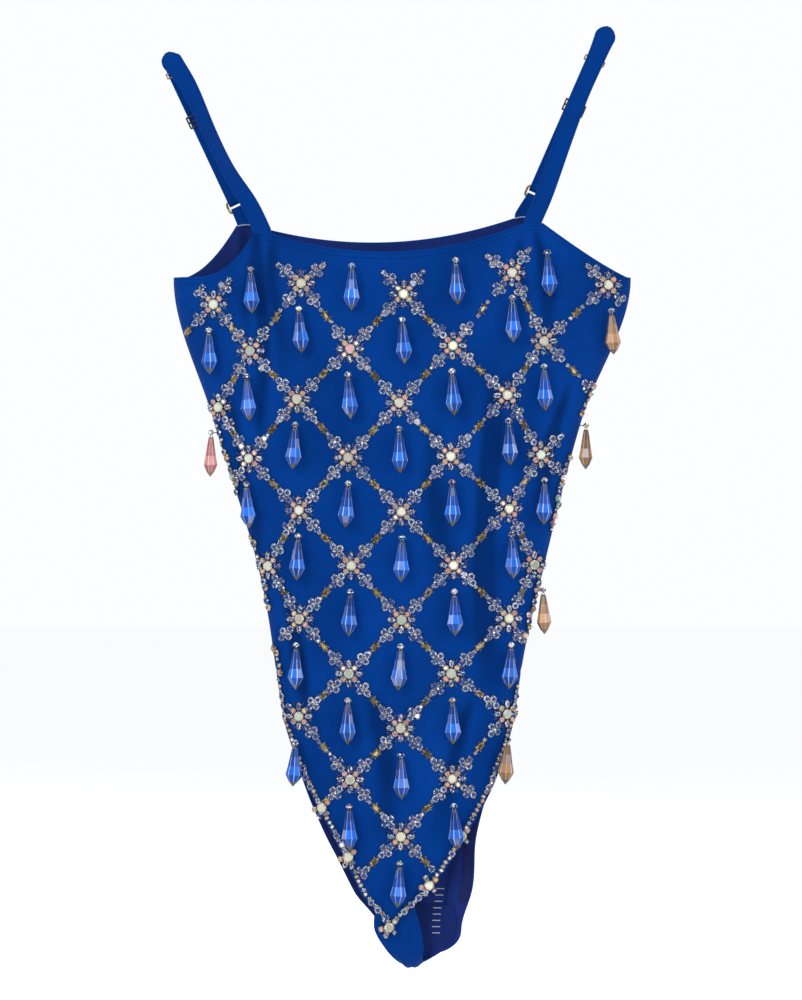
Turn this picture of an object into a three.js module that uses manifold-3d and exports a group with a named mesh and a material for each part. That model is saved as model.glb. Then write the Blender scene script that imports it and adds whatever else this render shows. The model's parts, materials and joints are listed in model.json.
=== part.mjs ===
// Embellished stretch bodysuit hanging by its two adjustable straps.
// Millimetres, +Z up, the front faces -Y, +X is to the right of someone facing the front.
// The origin lies on the hanger line that carries both straps.
import * as THREE from 'three';
import { mergeVertices } from 'three/addons/utils/BufferGeometryUtils.js';
import Module from 'manifold-3d';

const wasm = await Module();
wasm.setup();

// ---------- driving dimensions ----------
const UNDERARM_DROP = 198; // hanger line down to the underarm points
const BODY_LENGTH = 561; // underarm points down to the tip of the front V
const GUSSET_DROP = 31; // tip of the front V down to the lowest point of the gusset
const BUST_WIDTH = 391;
const RIB_WIDTH = BUST_WIDTH * 0.8056;
const WAIST_WIDTH = BUST_WIDTH * 0.6138;
const HIP_WIDTH = BUST_WIDTH * 0.5371;
const SEAT_WIDTH = BUST_WIDTH * 0.3836;
const FRONT_DEPTH = BUST_WIDTH * 0.0742; // how far the front stands forward of the side seams at the bust
const BACK_DEPTH = BUST_WIDTH * 0.064;
const SHELL_THICKNESS = 1.0;
const LINING_THICKNESS = 0.7;
const GUSSET_THICKNESS = 1.4;
const GUSSET_OVERLAP = 22; // how far each end of the gusset runs up inside the panels
const ELASTIC_WIDTH = 6;
const ELASTIC_THICKNESS = 0.7;
const ELASTIC_CLEARANCE = 1.1; // below the lining
const ELASTIC_INSET = 2.5; // leg line to the elastic's outer edge
const LAYER_GAP = 0.4; // clearance between layers that are sewn together
const SEAM_GAP = 0.5; // clearance between panels across a seam

const COLUMN_PITCH = BUST_WIDTH * 0.1125; // net of crystals, measured along the cloth
// Columns -5 to 5, in pitches from the centre line: the straps gather the outer ones inward.
const COLUMN_PLACES = [-4.7, -3.66, -2.9, -1.95, -0.96, 0.03, 1.02, 2.12, 2.78, 4.02, 5];
const ROW_PITCH = BODY_LENGTH * 0.08235;
const FIRST_ROW_DROP = UNDERARM_DROP + 15; // hanger line down to the first row of florets
const ROW_COUNT = 12;
const NET_WIDTH = 5;
const NET_HEIGHT = 2.2;
const NET_STAND_OFF = BUST_WIDTH * 0.00205; // clearance under the net, for the flats of a wide panel
const STRAND_TURN = 0.16; // radians that one straight piece of a strand may turn
const FLORET_RADIUS = 9;
const CHAIN_INSET = 4; // edge chain, leg line to its middle
const CHAIN_WIDTH = 6;
const CHAIN_PROUD = 0.2; // the edge chain stands this much above and below the net
const STRAP_LIFT = 14; // how far a loaded strap pulls the first row up
const LEG_LIFT = 10; // how far the net rises toward the leg edges
const FLORET_INSET = 12; // side seam to the middle of the nearest floret
const EDGE_GATHER = 18; // a floret this far past that place is sewn there instead

const PENDANT_LENGTH = 38;
const PENDANT_WIDTH = 14.4;
const PENDANT_THICKNESS = 12;
const PENDANT_NECK_RADIUS = 3.2;
const PENDANT_BEAD_RADIUS = 2.4;
const PENDANT_DROP = 22; // floret centre down to the pendant's pivot
const PENDANT_SIDES = 8;
const SHANK_RADIUS = 1.5;
// A pendant this far past the left or right edge is hung from the edge instead.
const EDGE_PENDANT_REACH = { left: 9, right: 24 };

const STRAP_WIDTH = 15;
const STRAP_THICKNESS = 1.4;
const STRAP_FOLD_RADIUS = 5; // fold over the hanger, to the middle of the strap
const WIRE = 2; // thickness of every ring and slider bar
const RING_SPACING = 9.4; // middle of the ring's upper bar to middle of its lower bar
const RING_CLEARANCE = 0.8; // strap edge to ring, each side
const RING_FOLD_RADIUS = 3.8; // strap fold under the ring's upper bar, to the middle of the strap
const TAB_FOLD_RADIUS = 2.7;
const SLIDER_LENGTH = 11;
const SLIDER_SLOT_CLEARANCE = 0.7;
const SLIDER_TRAVEL = 25;
const SLIDER_DISTANCE = 76; // ring's upper bar to the slider's middle
const KEEPER_LENGTH = 5;
const KEEPER_DISTANCE = 120; // ring's upper bar to the keeper's middle
const LAYER_SPACING = WIRE + STRAP_THICKNESS + 2 * SLIDER_SLOT_CLEARANCE;

const UNDERARM_Z = -UNDERARM_DROP;
const TIP_Z = UNDERARM_Z - BODY_LENGTH;
const HALF_BUST = BUST_WIDTH / 2;
const FRONT = -1;
const BACK = 1;

// ---------- outline of the hanging body ----------
// A smooth curve through [position, value] stations; positions run from 0 at the underarm
// to 1 at the tip of the V.
function profile(stations) {
  const curve = new THREE.CubicInterpolant(
    stations.map((station) => station[0]),
    stations.map((station) => station[1]),
    1,
  );
  const first = stations[0][0];
  const last = stations[stations.length - 1][0];
  return (position) => curve.evaluate(THREE.MathUtils.clamp(position, first, last))[0];
}

const RIBS = 0.215;
const WAIST = 0.455;
const HIPS = 0.593;

const tubeHalfWidth = profile([
  [0, HALF_BUST],
  [RIBS, RIB_WIDTH / 2],
  [WAIST, WAIST_WIDTH / 2],
  [HIPS, HIP_WIDTH / 2],
  [1.1, SEAT_WIDTH / 2],
]);
const centreLine = profile([[0, 1], [RIBS, -3], [WAIST, 0], [HIPS, -2], [0.88, -2], [1, -9]]);
const legHalfWidth = {
  [FRONT]: profile([
    [HIPS, HIP_WIDTH / 2 - 1],
    [0.756, HIP_WIDTH * 0.4],
    [0.854, HIP_WIDTH * 0.2667],
    [0.934, HIP_WIDTH * 0.1429],
    [1, 3],
  ]),
  [BACK]: profile([
    [HIPS, HIP_WIDTH / 2 - 1],
    [0.756, HIP_WIDTH * 0.3952],
    [0.872, HIP_WIDTH * 0.2952],
    [0.94, HIP_WIDTH * 0.2429],
    [1, HIP_WIDTH * 0.1667],
  ]),
};
const legShift = {
  [FRONT]: () => 0,
  [BACK]: profile([[HIPS, 0], [0.85, 1], [0.94, 16], [1, 26]]),
};
const depthShare = profile([[0, 0.94], [0.09, 1], [0.27, 0.88], [WAIST, 0.7], [HIPS, 0.7], [0.8, 0.66], [1, 0.46]]);
const depthAtSide = { [FRONT]: FRONT_DEPTH, [BACK]: BACK_DEPTH };

const station = (z) => (UNDERARM_Z - z) / BODY_LENGTH;
const depth = (side, z) => depthAtSide[side] * depthShare(station(z));
const halfWidth = (z) => tubeHalfWidth(Math.max(0, station(z)));
const middle = (z) => centreLine(Math.max(0, station(z)));

// A point of the tube: angle 0 is the centre line, +-90 degrees the side seams.
function onTube(side, angle, z, lift) {
  const width = halfWidth(z);
  const deep = depth(side, z);
  const across = Math.sin(angle) / width;
  const outward = Math.cos(angle) / deep;
  const scale = lift / Math.hypot(across, outward);
  return new THREE.Vector3(
    middle(z) + width * Math.sin(angle) + across * scale,
    side * (deep * Math.cos(angle) + outward * scale),
    z,
  );
}

function outwardNormal(side, angle, z) {
  return onTube(side, angle, z, 1).sub(onTube(side, angle, z, 0));
}

function angleAtX(x, z) {
  return Math.asin(THREE.MathUtils.clamp((x - middle(z)) / halfWidth(z), -1, 1));
}

// The angle that lies a given distance along the cloth from the centre line.
function angleAtArc(side, distance, z) {
  const width = halfWidth(z);
  const deep = depth(side, z);
  const steps = 60;
  const step = Math.PI / 2 / steps;
  let travelled = 0;
  for (let i = 0; i < steps; i += 1) {
    const angle = (i + 0.5) * step;
    const piece = Math.hypot(width * Math.cos(angle), deep * Math.sin(angle)) * step;
    if (travelled + piece >= Math.abs(distance)) {
      const share = (Math.abs(distance) - travelled) / piece;
      return Math.sign(distance) * (i + share) * step;
    }
    travelled += piece;
  }
  return Math.sign(distance) * Math.PI * 0.6;
}

// ---------- edges of each panel ----------
const strapCorner = (halfBusts, drop) => ({ x: halfBusts * HALF_BUST, z: UNDERARM_Z + drop });
const STRAP_CORNERS = {
  [FRONT]: { left: strapCorner(-0.6036, 37), right: strapCorner(0.5754, 46) },
  [BACK]: { left: strapCorner(-0.6854, 47), right: strapCorner(0.5422, 54) },
};
const NECK_SAG = { [FRONT]: 20, [BACK]: 17 };
const ARMHOLE_HOLLOW = {
  [FRONT]: { left: 3.5, right: 1.2 },
  [BACK]: { left: 1.9, right: 1.4 },
};
const CORNER_REACH = STRAP_WIDTH / 2 + 1; // half the flat that the strap is sewn to

function topEdge(side, x) {
  const { left, right } = STRAP_CORNERS[side];
  const leftEnd = middle(UNDERARM_Z) - HALF_BUST;
  const rightEnd = middle(UNDERARM_Z) + HALF_BUST;
  if (x < left.x - CORNER_REACH) {
    const share = (x - leftEnd) / (left.x - CORNER_REACH - leftEnd);
    return UNDERARM_Z + (left.z - UNDERARM_Z) * Math.max(0, share) ** ARMHOLE_HOLLOW[side].left;
  }
  if (x > right.x + CORNER_REACH) {
    const share = (rightEnd - x) / (rightEnd - right.x - CORNER_REACH);
    return UNDERARM_Z + (right.z - UNDERARM_Z) * Math.max(0, share) ** ARMHOLE_HOLLOW[side].right;
  }
  const span = right.x - left.x - 2 * CORNER_REACH;
  const share = THREE.MathUtils.clamp((x - left.x - CORNER_REACH) / span, 0, 1);
  return THREE.MathUtils.lerp(left.z, right.z, share) - 4 * NECK_SAG[side] * share * (1 - share);
}

const SEAM_ANGLE = { [FRONT]: 0, [BACK]: 0 };
for (const side of [FRONT, BACK]) {
  SEAM_ANGLE[side] = Math.acos(SEAM_GAP / 2 / (depthAtSide[side] * 0.46));
}

// Left and right edge of a panel at a height, as angles on the tube.
function edgeAngles(side, z) {
  const at = station(z);
  if (at <= HIPS) {
    return [-SEAM_ANGLE[side], SEAM_ANGLE[side]];
  }
  const centre = middle(z) + legShift[side](at);
  const half = legHalfWidth[side](at);
  const limit = SEAM_ANGLE[side];
  return [
    Math.max(-limit, angleAtX(centre - half, z)),
    Math.min(limit, angleAtX(centre + half, z)),
  ];
}

const TOP_ROWS = 3;
const BODY_ROWS = 13;

// Columns crowd so that the ends of both strap corners fall on one each.
function columnAngles(side) {
  const { left, right } = STRAP_CORNERS[side];
  const limit = SEAM_ANGLE[side];
  const cornerEnds = [left.x - CORNER_REACH, left.x + CORNER_REACH, right.x - CORNER_REACH, right.x + CORNER_REACH];
  const marks = [-limit, ...cornerEnds.map((x) => angleAtX(x, UNDERARM_Z)), limit];
  const counts = [4, 1, 6, 1, 4];
  const angles = [-limit];
  counts.forEach((count, span) => {
    for (let i = 1; i <= count; i += 1) {
      angles.push(THREE.MathUtils.lerp(marks[span], marks[span + 1], i / count));
    }
  });
  return angles;
}
const COLUMN_ANGLES = { [FRONT]: columnAngles(FRONT), [BACK]: columnAngles(BACK) };
const PANEL_COLUMNS = COLUMN_ANGLES[FRONT].length - 1;

// Row 0 is the top edge, row TOP_ROWS the underarm level, the last row the bottom edge.
function panelPoint(side, column, row, lift, trim) {
  const angle = COLUMN_ANGLES[side][column];
  if (row >= TOP_ROWS) {
    const down = (row - TOP_ROWS) / BODY_ROWS;
    const z = THREE.MathUtils.lerp(UNDERARM_Z - 1, TIP_Z + trim, down);
    const [from, to] = edgeAngles(side, z);
    const share = (angle / SEAM_ANGLE[side] + 1) / 2;
    return onTube(side, THREE.MathUtils.lerp(from, to, share), z, lift);
  }
  const x = middle(UNDERARM_Z) + HALF_BUST * Math.sin(angle);
  const top = Math.max(topEdge(side, x), UNDERARM_Z + 1) - trim;
  const z = THREE.MathUtils.lerp(top, UNDERARM_Z - 1, row / TOP_ROWS);
  return onTube(side, angle, z, lift);
}

// ---------- geometry helpers ----------
function closedGeometry(corners, faces) {
  const geometry = new THREE.BufferGeometry();
  geometry.setAttribute('position', new THREE.Float32BufferAttribute(corners.flatMap((p) => [p.x, p.y, p.z]), 3));
  geometry.setIndex(faces);
  const merged = mergeVertices(geometry, 1e-3);
  const index = [...merged.index.array];
  const kept = [];
  for (let i = 0; i < index.length; i += 3) {
    const [a, b, c] = index.slice(i, i + 3);
    if (a !== b && b !== c && c !== a) {
      kept.push(a, b, c);
    }
  }
  merged.setIndex(kept);
  return pointingOut(merged);
}

function pointingOut(geometry) {
  const position = geometry.attributes.position;
  const index = geometry.index.array;
  const [a, b, c] = [new THREE.Vector3(), new THREE.Vector3(), new THREE.Vector3()];
  let volume = 0;
  for (let i = 0; i < index.length; i += 3) {
    a.fromBufferAttribute(position, index[i]);
    b.fromBufferAttribute(position, index[i + 1]);
    c.fromBufferAttribute(position, index[i + 2]);
    volume += a.dot(b.cross(c));
  }
  if (volume < 0) {
    const flipped = [];
    for (let i = 0; i < index.length; i += 3) {
      flipped.push(index[i], index[i + 2], index[i + 1]);
    }
    geometry.setIndex(flipped);
  }
  return geometry;
}

// A closed sheet between two faces, each a grid of points.
function closedSheet(columns, rows, pointOnFace) {
  const corners = [];
  const faces = [];
  const stride = columns + 1;
  const count = stride * (rows + 1);
  for (const face of [0, 1]) {
    for (let row = 0; row <= rows; row += 1) {
      for (let column = 0; column <= columns; column += 1) {
        corners.push(pointOnFace(face, column, row));
      }
    }
  }
  const quad = (a, b, c, d) => faces.push(a, b, c, a, c, d);
  for (let row = 0; row < rows; row += 1) {
    for (let column = 0; column < columns; column += 1) {
      const near = row * stride + column;
      quad(near, near + 1, near + stride + 1, near + stride);
      quad(count + near, count + near + stride, count + near + stride + 1, count + near + 1);
    }
  }
  const rim = [];
  for (let column = 0; column < columns; column += 1) rim.push(column);
  for (let row = 0; row < rows; row += 1) rim.push(row * stride + columns);
  for (let column = columns; column > 0; column -= 1) rim.push(rows * stride + column);
  for (let row = rows; row > 0; row -= 1) rim.push(row * stride);
  rim.forEach((start, i) => {
    const end = rim[(i + 1) % rim.length];
    quad(start, start + count, end + count, end);
  });
  return closedGeometry(corners, faces);
}

// A flat band swept along points; each station has a width direction and a width.
function closedBand(stations, low, high) {
  const corners = [];
  const faces = [];
  stations.forEach(({ point, across, width }, i) => {
    const before = stations[Math.max(0, i - 1)].point;
    const after = stations[Math.min(stations.length - 1, i + 1)].point;
    const along = after.clone().sub(before).normalize();
    const side = across.clone().addScaledVector(along, -across.dot(along)).normalize();
    const face = along.clone().cross(side).normalize();
    for (const [u, v] of [[-1, low], [1, low], [1, high], [-1, high]]) {
      corners.push(point.clone().addScaledVector(side, (u * width) / 2).addScaledVector(face, v));
    }
  });
  for (let i = 0; i + 1 < stations.length; i += 1) {
    for (let j = 0; j < 4; j += 1) {
      const a = i * 4 + j;
      const b = i * 4 + ((j + 1) % 4);
      faces.push(a, b, b + 4, a, b + 4, a + 4);
    }
  }
  const end = (stations.length - 1) * 4;
  faces.push(0, 2, 1, 0, 3, 2, end, end + 1, end + 2, end, end + 2, end + 3);
  return closedGeometry(corners, faces);
}

function toSolid(geometry) {
  const bare = geometry.clone();
  bare.deleteAttribute('normal');
  bare.deleteAttribute('uv');
  const merged = mergeVertices(bare, 1e-3);
  return new wasm.Manifold(new wasm.Mesh({
    numProp: 3,
    vertProperties: Float32Array.from(merged.attributes.position.array),
    triVerts: Uint32Array.from(merged.index.array),
  }));
}

function toGeometry(solid) {
  const mesh = solid.getMesh();
  const geometry = new THREE.BufferGeometry();
  geometry.setAttribute('position', new THREE.Float32BufferAttribute(mesh.vertProperties, 3));
  geometry.setIndex([...mesh.triVerts]);
  return geometry;
}

const joined = (geometries) => geometries.map(toSolid).reduce((whole, piece) => whole.add(piece));

// ---------- materials ----------
const shade = (color, roughness, metalness) => new THREE.MeshStandardMaterial({ color, roughness, metalness });
const royalBlue = () => shade(0x00398b, 0.75, 0);
const navyLining = () => shade(0x25297a, 0.7, 0);
const paleGold = () => shade(0xc9b27a, 0.3, 1);
const crystal = () => shade(0xd9dcd6, 0.15, 0.1);
const glass = () => shade(0x8fb8ff, 0.05, 0);

const suit = new THREE.Group();
function addPiece(name, geometry, material, parent = suit) {
  const mesh = new THREE.Mesh(geometry, material);
  mesh.name = name;
  parent.add(mesh);
  return mesh;
}

// ---------- shell and lining ----------
function panelGeometry(side, low, high, trim) {
  return closedSheet(PANEL_COLUMNS, TOP_ROWS + BODY_ROWS, (face, column, row) => (
    panelPoint(side, column, row, face === 0 ? low : high, trim)
  ));
}

const LINING_TRIM = 1.5; // the lining stops short of the shell's edges
const LINING_TOP = -LAYER_GAP;
addPiece('front_panel', panelGeometry(FRONT, 0, SHELL_THICKNESS, 0), royalBlue());
addPiece('back_panel', panelGeometry(BACK, 0, SHELL_THICKNESS, 0), royalBlue());
addPiece('front_lining', panelGeometry(FRONT, LINING_TOP - LINING_THICKNESS, LINING_TOP, LINING_TRIM), navyLining());
addPiece('back_lining', panelGeometry(BACK, LINING_TOP - LINING_THICKNESS, LINING_TOP, LINING_TRIM), navyLining());

// ---------- gusset ----------
function gussetGeometry() {
  const under = LAYER_GAP + LINING_THICKNESS + LAYER_GAP + GUSSET_THICKNESS / 2;
  const lowest = TIP_Z - GUSSET_DROP + GUSSET_THICKNESS / 2;
  // fold runs from 0 on the front to 180 on the back
  const stations = [
    { fold: 0, x: -5, z: TIP_Z + GUSSET_OVERLAP, width: 34 },
    { fold: 0, x: -3, z: TIP_Z + 4, width: 38 },
    { fold: 25, x: 3, z: TIP_Z - 14, width: 33 },
    { fold: 90, x: 9, z: lowest, width: 24 },
    { fold: 155, x: 15, z: TIP_Z - 14, width: 42 },
    { fold: 180, x: 16, z: TIP_Z + 4, width: 52 },
    { fold: 180, x: 14, z: TIP_Z + GUSSET_OVERLAP, width: 58 },
  ];
  const last = stations.length - 1;
  const along = (key) => profile(stations.map((s, i) => [i / last, s[key]]));
  const [fold, x, z, width] = ['fold', 'x', 'z', 'width'].map(along);
  const columns = 6;
  const rows = 18;
  return closedSheet(columns, rows, (face, column, row) => {
    const share = row / rows;
    const place = { x: x(share) + width(share) * (column / columns - 0.5), z: z(share) };
    const angle = angleAtX(place.x, place.z);
    const front = onTube(FRONT, angle, place.z, -under);
    const back = onTube(BACK, angle, place.z, -under);
    const turn = THREE.MathUtils.degToRad(THREE.MathUtils.clamp(fold(share), 0, 180));
    const point = front.lerp(back, (1 - Math.cos(turn)) / 2);
    const offset = (face - 0.5) * GUSSET_THICKNESS;
    return point.add(new THREE.Vector3(0, -Math.cos(turn), -Math.sin(turn)).multiplyScalar(offset));
  });
}
addPiece('crotch_gusset', gussetGeometry(), royalBlue());

// ---------- net of crystals ----------
// Distance along the cloth from the centre line to the nearer panel edge.
function edgeArc(side, hand, z) {
  const [left, right] = edgeAngles(side, z);
  const target = hand < 0 ? -left : right;
  const steps = 40;
  let travelled = 0;
  for (let i = 0; i < steps; i += 1) {
    const angle = ((i + 0.5) / steps) * target;
    travelled += Math.hypot(halfWidth(z) * Math.cos(angle), depth(side, z) * Math.sin(angle)) * (target / steps);
  }
  return travelled;
}

// How far the straps pull a place of the net up, and how far it rises toward the legs.
function strapPull(arc, z) {
  const fade = Math.min(1, Math.exp((z + FIRST_ROW_DROP) / (2 * ROW_PITCH)));
  const nearStrap = Math.exp(-(((Math.abs(arc) / COLUMN_PITCH - 2.05) / 0.73) ** 2));
  return fade * (STRAP_LIFT * nearStrap + 0.05 * arc);
}

function legPull(arc, z) {
  const fade = THREE.MathUtils.clamp((station(z) - HIPS) / 0.09, 0, 1);
  return fade * LEG_LIFT * (arc / (2 * COLUMN_PITCH)) ** 2;
}

const rowHeight = (row) => -FIRST_ROW_DROP - (row - 1) * ROW_PITCH;

// A place of the even net, whether or not it lies on a panel.
function freePlace(column, row) {
  const arc = COLUMN_PLACES[column + 5] * COLUMN_PITCH;
  return { arc, z: rowHeight(row) + strapPull(arc, rowHeight(row)) + legPull(arc, rowHeight(row)) };
}

// The place of a floret on the net. One just past a side seam is gathered onto the panel.
function netPlace(side, column, row) {
  const { arc, z } = freePlace(column, row);
  const past = Math.abs(arc) - edgeArc(side, arc, z) + FLORET_INSET;
  const gathered = station(z) < HIPS && past > 0 && past < EDGE_GATHER;
  return { arc: gathered ? arc - Math.sign(arc) * past : arc, z };
}

function fitsOnPanel(side, { arc, z }, margin) {
  if (z < TIP_Z + margin) return false;
  if (Math.abs(arc) > edgeArc(side, arc, z) - margin) return false;
  const point = onTube(side, angleAtArc(side, arc, z), z, 0);
  return z < topEdge(side, point.x) - margin;
}

const NET_FOOT = SHELL_THICKNESS + NET_STAND_OFF;
const EDGE_MARGIN = 4.5;
const TOP_MARGIN = 7;

const clothPoint = (side, { arc, z }, lift) => onTube(side, angleAtArc(side, arc, z), z, lift);

// A flat mesh drawn on the cloth in (arc, z), later raised into one closed body.
class ClothMesh {
  constructor() {
    this.places = [];
    this.triangles = [];
    this.known = new Map();
  }

  vertex(place) {
    const key = `${place.arc.toFixed(2)},${place.z.toFixed(2)}`;
    if (!this.known.has(key)) {
      this.known.set(key, this.places.length);
      this.places.push(place);
    }
    return this.known.get(key);
  }

  triangle(a, b, c) {
    const area = (b.arc - a.arc) * (c.z - a.z) - (c.arc - a.arc) * (b.z - a.z);
    const [i, j, k] = [a, b, c].map((place) => this.vertex(place));
    this.triangles.push(area > 0 ? [i, j, k] : [i, k, j]);
  }

  quad(a, b, c, d) {
    this.triangle(a, b, c);
    this.triangle(a, c, d);
  }

  raised(side, foot, height) {
    const count = this.places.length;
    const corners = [foot, foot + height].flatMap((lift) => this.places.map((place) => clothPoint(side, place, lift)));
    const faces = [];
    const rim = new Map();
    for (const [i, j, k] of this.triangles) {
      faces.push(count + i, count + j, count + k, i, k, j);
      for (const [from, to] of [[i, j], [j, k], [k, i]]) {
        if (!rim.delete(`${to}>${from}`)) rim.set(`${from}>${to}`, [from, to]);
      }
    }
    for (const [from, to] of rim.values()) {
      faces.push(from, to, count + to, from, count + to, count + from);
    }
    return closedGeometry(corners, faces);
  }
}

// Unit direction of a strand from one floret to the next, and a point beside it.
function strandDirection(columnStep, rowStep) {
  const length = Math.hypot(COLUMN_PITCH, ROW_PITCH);
  return { arc: (columnStep * COLUMN_PITCH) / length, z: (-rowStep * ROW_PITCH) / length };
}

function besideStrand(place, direction, along, across) {
  return {
    arc: place.arc + direction.arc * along - direction.z * across,
    z: place.z + direction.z * along + direction.arc * across,
  };
}

const DIAGONALS = [[1, -1], [1, 1], [-1, 1], [-1, -1]];
const FLORET_REACH = FLORET_RADIUS * 0.94; // centre to the edge that a strand leaves from

function addFloret(mesh, place) {
  const corners = DIAGONALS.flatMap(([columnStep, rowStep]) => {
    const direction = strandDirection(columnStep, rowStep);
    return [1, -1].map((hand) => besideStrand(place, direction, FLORET_REACH, (hand * NET_WIDTH) / 2));
  });
  corners.forEach((corner, i) => mesh.triangle(place, corner, corners[(i + 1) % corners.length]));
}

function addStrand(mesh, side, column, row, columnStep, rowStep) {
  const from = netPlace(side, column, row);
  const to = netPlace(side, column + columnStep, row + rowStep);
  const whole = fitsOnPanel(side, to, EDGE_MARGIN);
  if (whole && rowStep < 0) return;
  const direction = strandDirection(columnStep, rowStep);
  const span = Math.hypot(to.arc - from.arc, to.z - from.z);
  let reach = whole ? span - FLORET_REACH : FLORET_REACH;
  while (!whole && reach < span - FLORET_REACH) {
    const next = besideStrand(from, direction, reach + 2, 0);
    if (!fitsOnPanel(side, next, rowStep < 0 ? TOP_MARGIN : EDGE_MARGIN)) break;
    reach += 2;
  }
  if (reach - FLORET_REACH < 6) return;
  const end = whole ? to : besideStrand(from, direction, reach, 0);
  const endReach = whole ? -FLORET_REACH : 0;
  const turn = Math.abs(angleAtArc(side, end.arc, end.z) - angleAtArc(side, from.arc, from.z));
  const steps = Math.max(1, Math.ceil(turn / STRAND_TURN));
  const rung = (share, hand) => {
    const a = besideStrand(from, direction, FLORET_REACH, (hand * NET_WIDTH) / 2);
    const b = besideStrand(end, direction, endReach, (hand * NET_WIDTH) / 2);
    return { arc: THREE.MathUtils.lerp(a.arc, b.arc, share), z: THREE.MathUtils.lerp(a.z, b.z, share) };
  };
  for (let i = 0; i < steps; i += 1) {
    const [near, far] = [i / steps, (i + 1) / steps];
    mesh.quad(rung(near, 1), rung(near, -1), rung(far, -1), rung(far, 1));
  }
}

function legChain(side, hand) {
  const steps = 14;
  const mesh = new ClothMesh();
  const rungs = [];
  for (let i = 0; i <= steps; i += 1) {
    const z = THREE.MathUtils.lerp(UNDERARM_Z - BODY_LENGTH * (HIPS + 0.03), TIP_Z + 7, i / steps);
    const arc = Math.max(CHAIN_WIDTH * 0.4, edgeArc(side, hand, z) - CHAIN_INSET);
    rungs.push([arc - CHAIN_WIDTH / 2, arc + CHAIN_WIDTH / 2].map((edge) => ({ arc: hand * edge, z })));
  }
  for (let i = 0; i < steps; i += 1) mesh.quad(rungs[i][0], rungs[i][1], rungs[i + 1][1], rungs[i + 1][0]);
  return mesh.raised(side, NET_FOOT - CHAIN_PROUD, NET_HEIGHT + 2 * CHAIN_PROUD);
}

const netColumns = (row) => [-4, -3, -2, -1, 0, 1, 2, 3, 4].filter((column) => (column + row) % 2 !== 0);

function netGeometry(side) {
  const mesh = new ClothMesh();
  for (let row = 1; row <= ROW_COUNT; row += 1) {
    for (const column of netColumns(row)) {
      const place = netPlace(side, column, row);
      if (fitsOnPanel(side, place, EDGE_MARGIN)) {
        addFloret(mesh, place);
        for (const [columnStep, rowStep] of DIAGONALS) addStrand(mesh, side, column, row, columnStep, rowStep);
      }
    }
  }
  const net = mesh.raised(side, NET_FOOT, NET_HEIGHT);
  return toGeometry(joined([net, legChain(side, -1), legChain(side, 1)]));
}

addPiece('front_crystal_net', netGeometry(FRONT), crystal());
addPiece('back_crystal_net', netGeometry(BACK), crystal());

// ---------- elastic inside the leg hems ----------
function legElastic(side, hand) {
  const steps = 12;
  const mesh = new ClothMesh();
  const rungs = [];
  for (let i = 0; i <= steps; i += 1) {
    const z = THREE.MathUtils.lerp(UNDERARM_Z - BODY_LENGTH * (HIPS + 0.02), TIP_Z + GUSSET_OVERLAP + 3, i / steps);
    const outer = edgeArc(side, hand, z) - ELASTIC_INSET;
    rungs.push([outer - ELASTIC_WIDTH, outer].map((edge) => ({ arc: hand * edge, z })));
  }
  for (let i = 0; i < steps; i += 1) mesh.quad(rungs[i][0], rungs[i][1], rungs[i + 1][1], rungs[i + 1][0]);
  return mesh.raised(side, LINING_TOP - LINING_THICKNESS - ELASTIC_CLEARANCE - ELASTIC_THICKNESS, ELASTIC_THICKNESS);
}
for (const [sideName, side] of [['front', FRONT], ['back', BACK]]) {
  addPiece(`left_${sideName}_leg_elastic`, legElastic(side, -1), navyLining());
  addPiece(`right_${sideName}_leg_elastic`, legElastic(side, 1), navyLining());
}

// ---------- drop pendants ----------
// Each hangs from a shank through its bead and swings about the cloth's outward normal.
// Heights are above the shell. A drop hangs clear of the net, to swing across it.
const NET_TOP = NET_STAND_OFF + NET_HEIGHT + CHAIN_PROUD;
const PENDANT_STAND_OFF = NET_TOP + LAYER_GAP + PENDANT_THICKNESS / 2;
const BELLY_SHARE = 0.74; // pivot to belly, as a share of the length
function pendantGeometry(standOff, shankFoot) {
  const tip = -PENDANT_LENGTH;
  const belly = -PENDANT_LENGTH * BELLY_SHARE;
  const neck = -PENDANT_BEAD_RADIUS - 1.2;
  const outline = [
    [0, PENDANT_BEAD_RADIUS],
    [PENDANT_BEAD_RADIUS, 0],
    [1.1, neck + 0.6],
    [PENDANT_NECK_RADIUS, neck - 2.4],
    [PENDANT_THICKNESS / 2, belly],
    [0, tip],
  ].map(([radius, z]) => new THREE.Vector2(radius, z));
  const drop = new THREE.LatheGeometry(outline.reverse(), PENDANT_SIDES);
  drop.rotateX(Math.PI / 2);
  drop.scale(PENDANT_WIDTH / PENDANT_THICKNESS, 1, 1);
  const shankLength = standOff - shankFoot;
  const shank = new THREE.CylinderGeometry(SHANK_RADIUS, SHANK_RADIUS, shankLength, 6);
  shank.translate(0, shankLength / 2, 0);
  return toGeometry(joined([drop, shank]));
}

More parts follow.
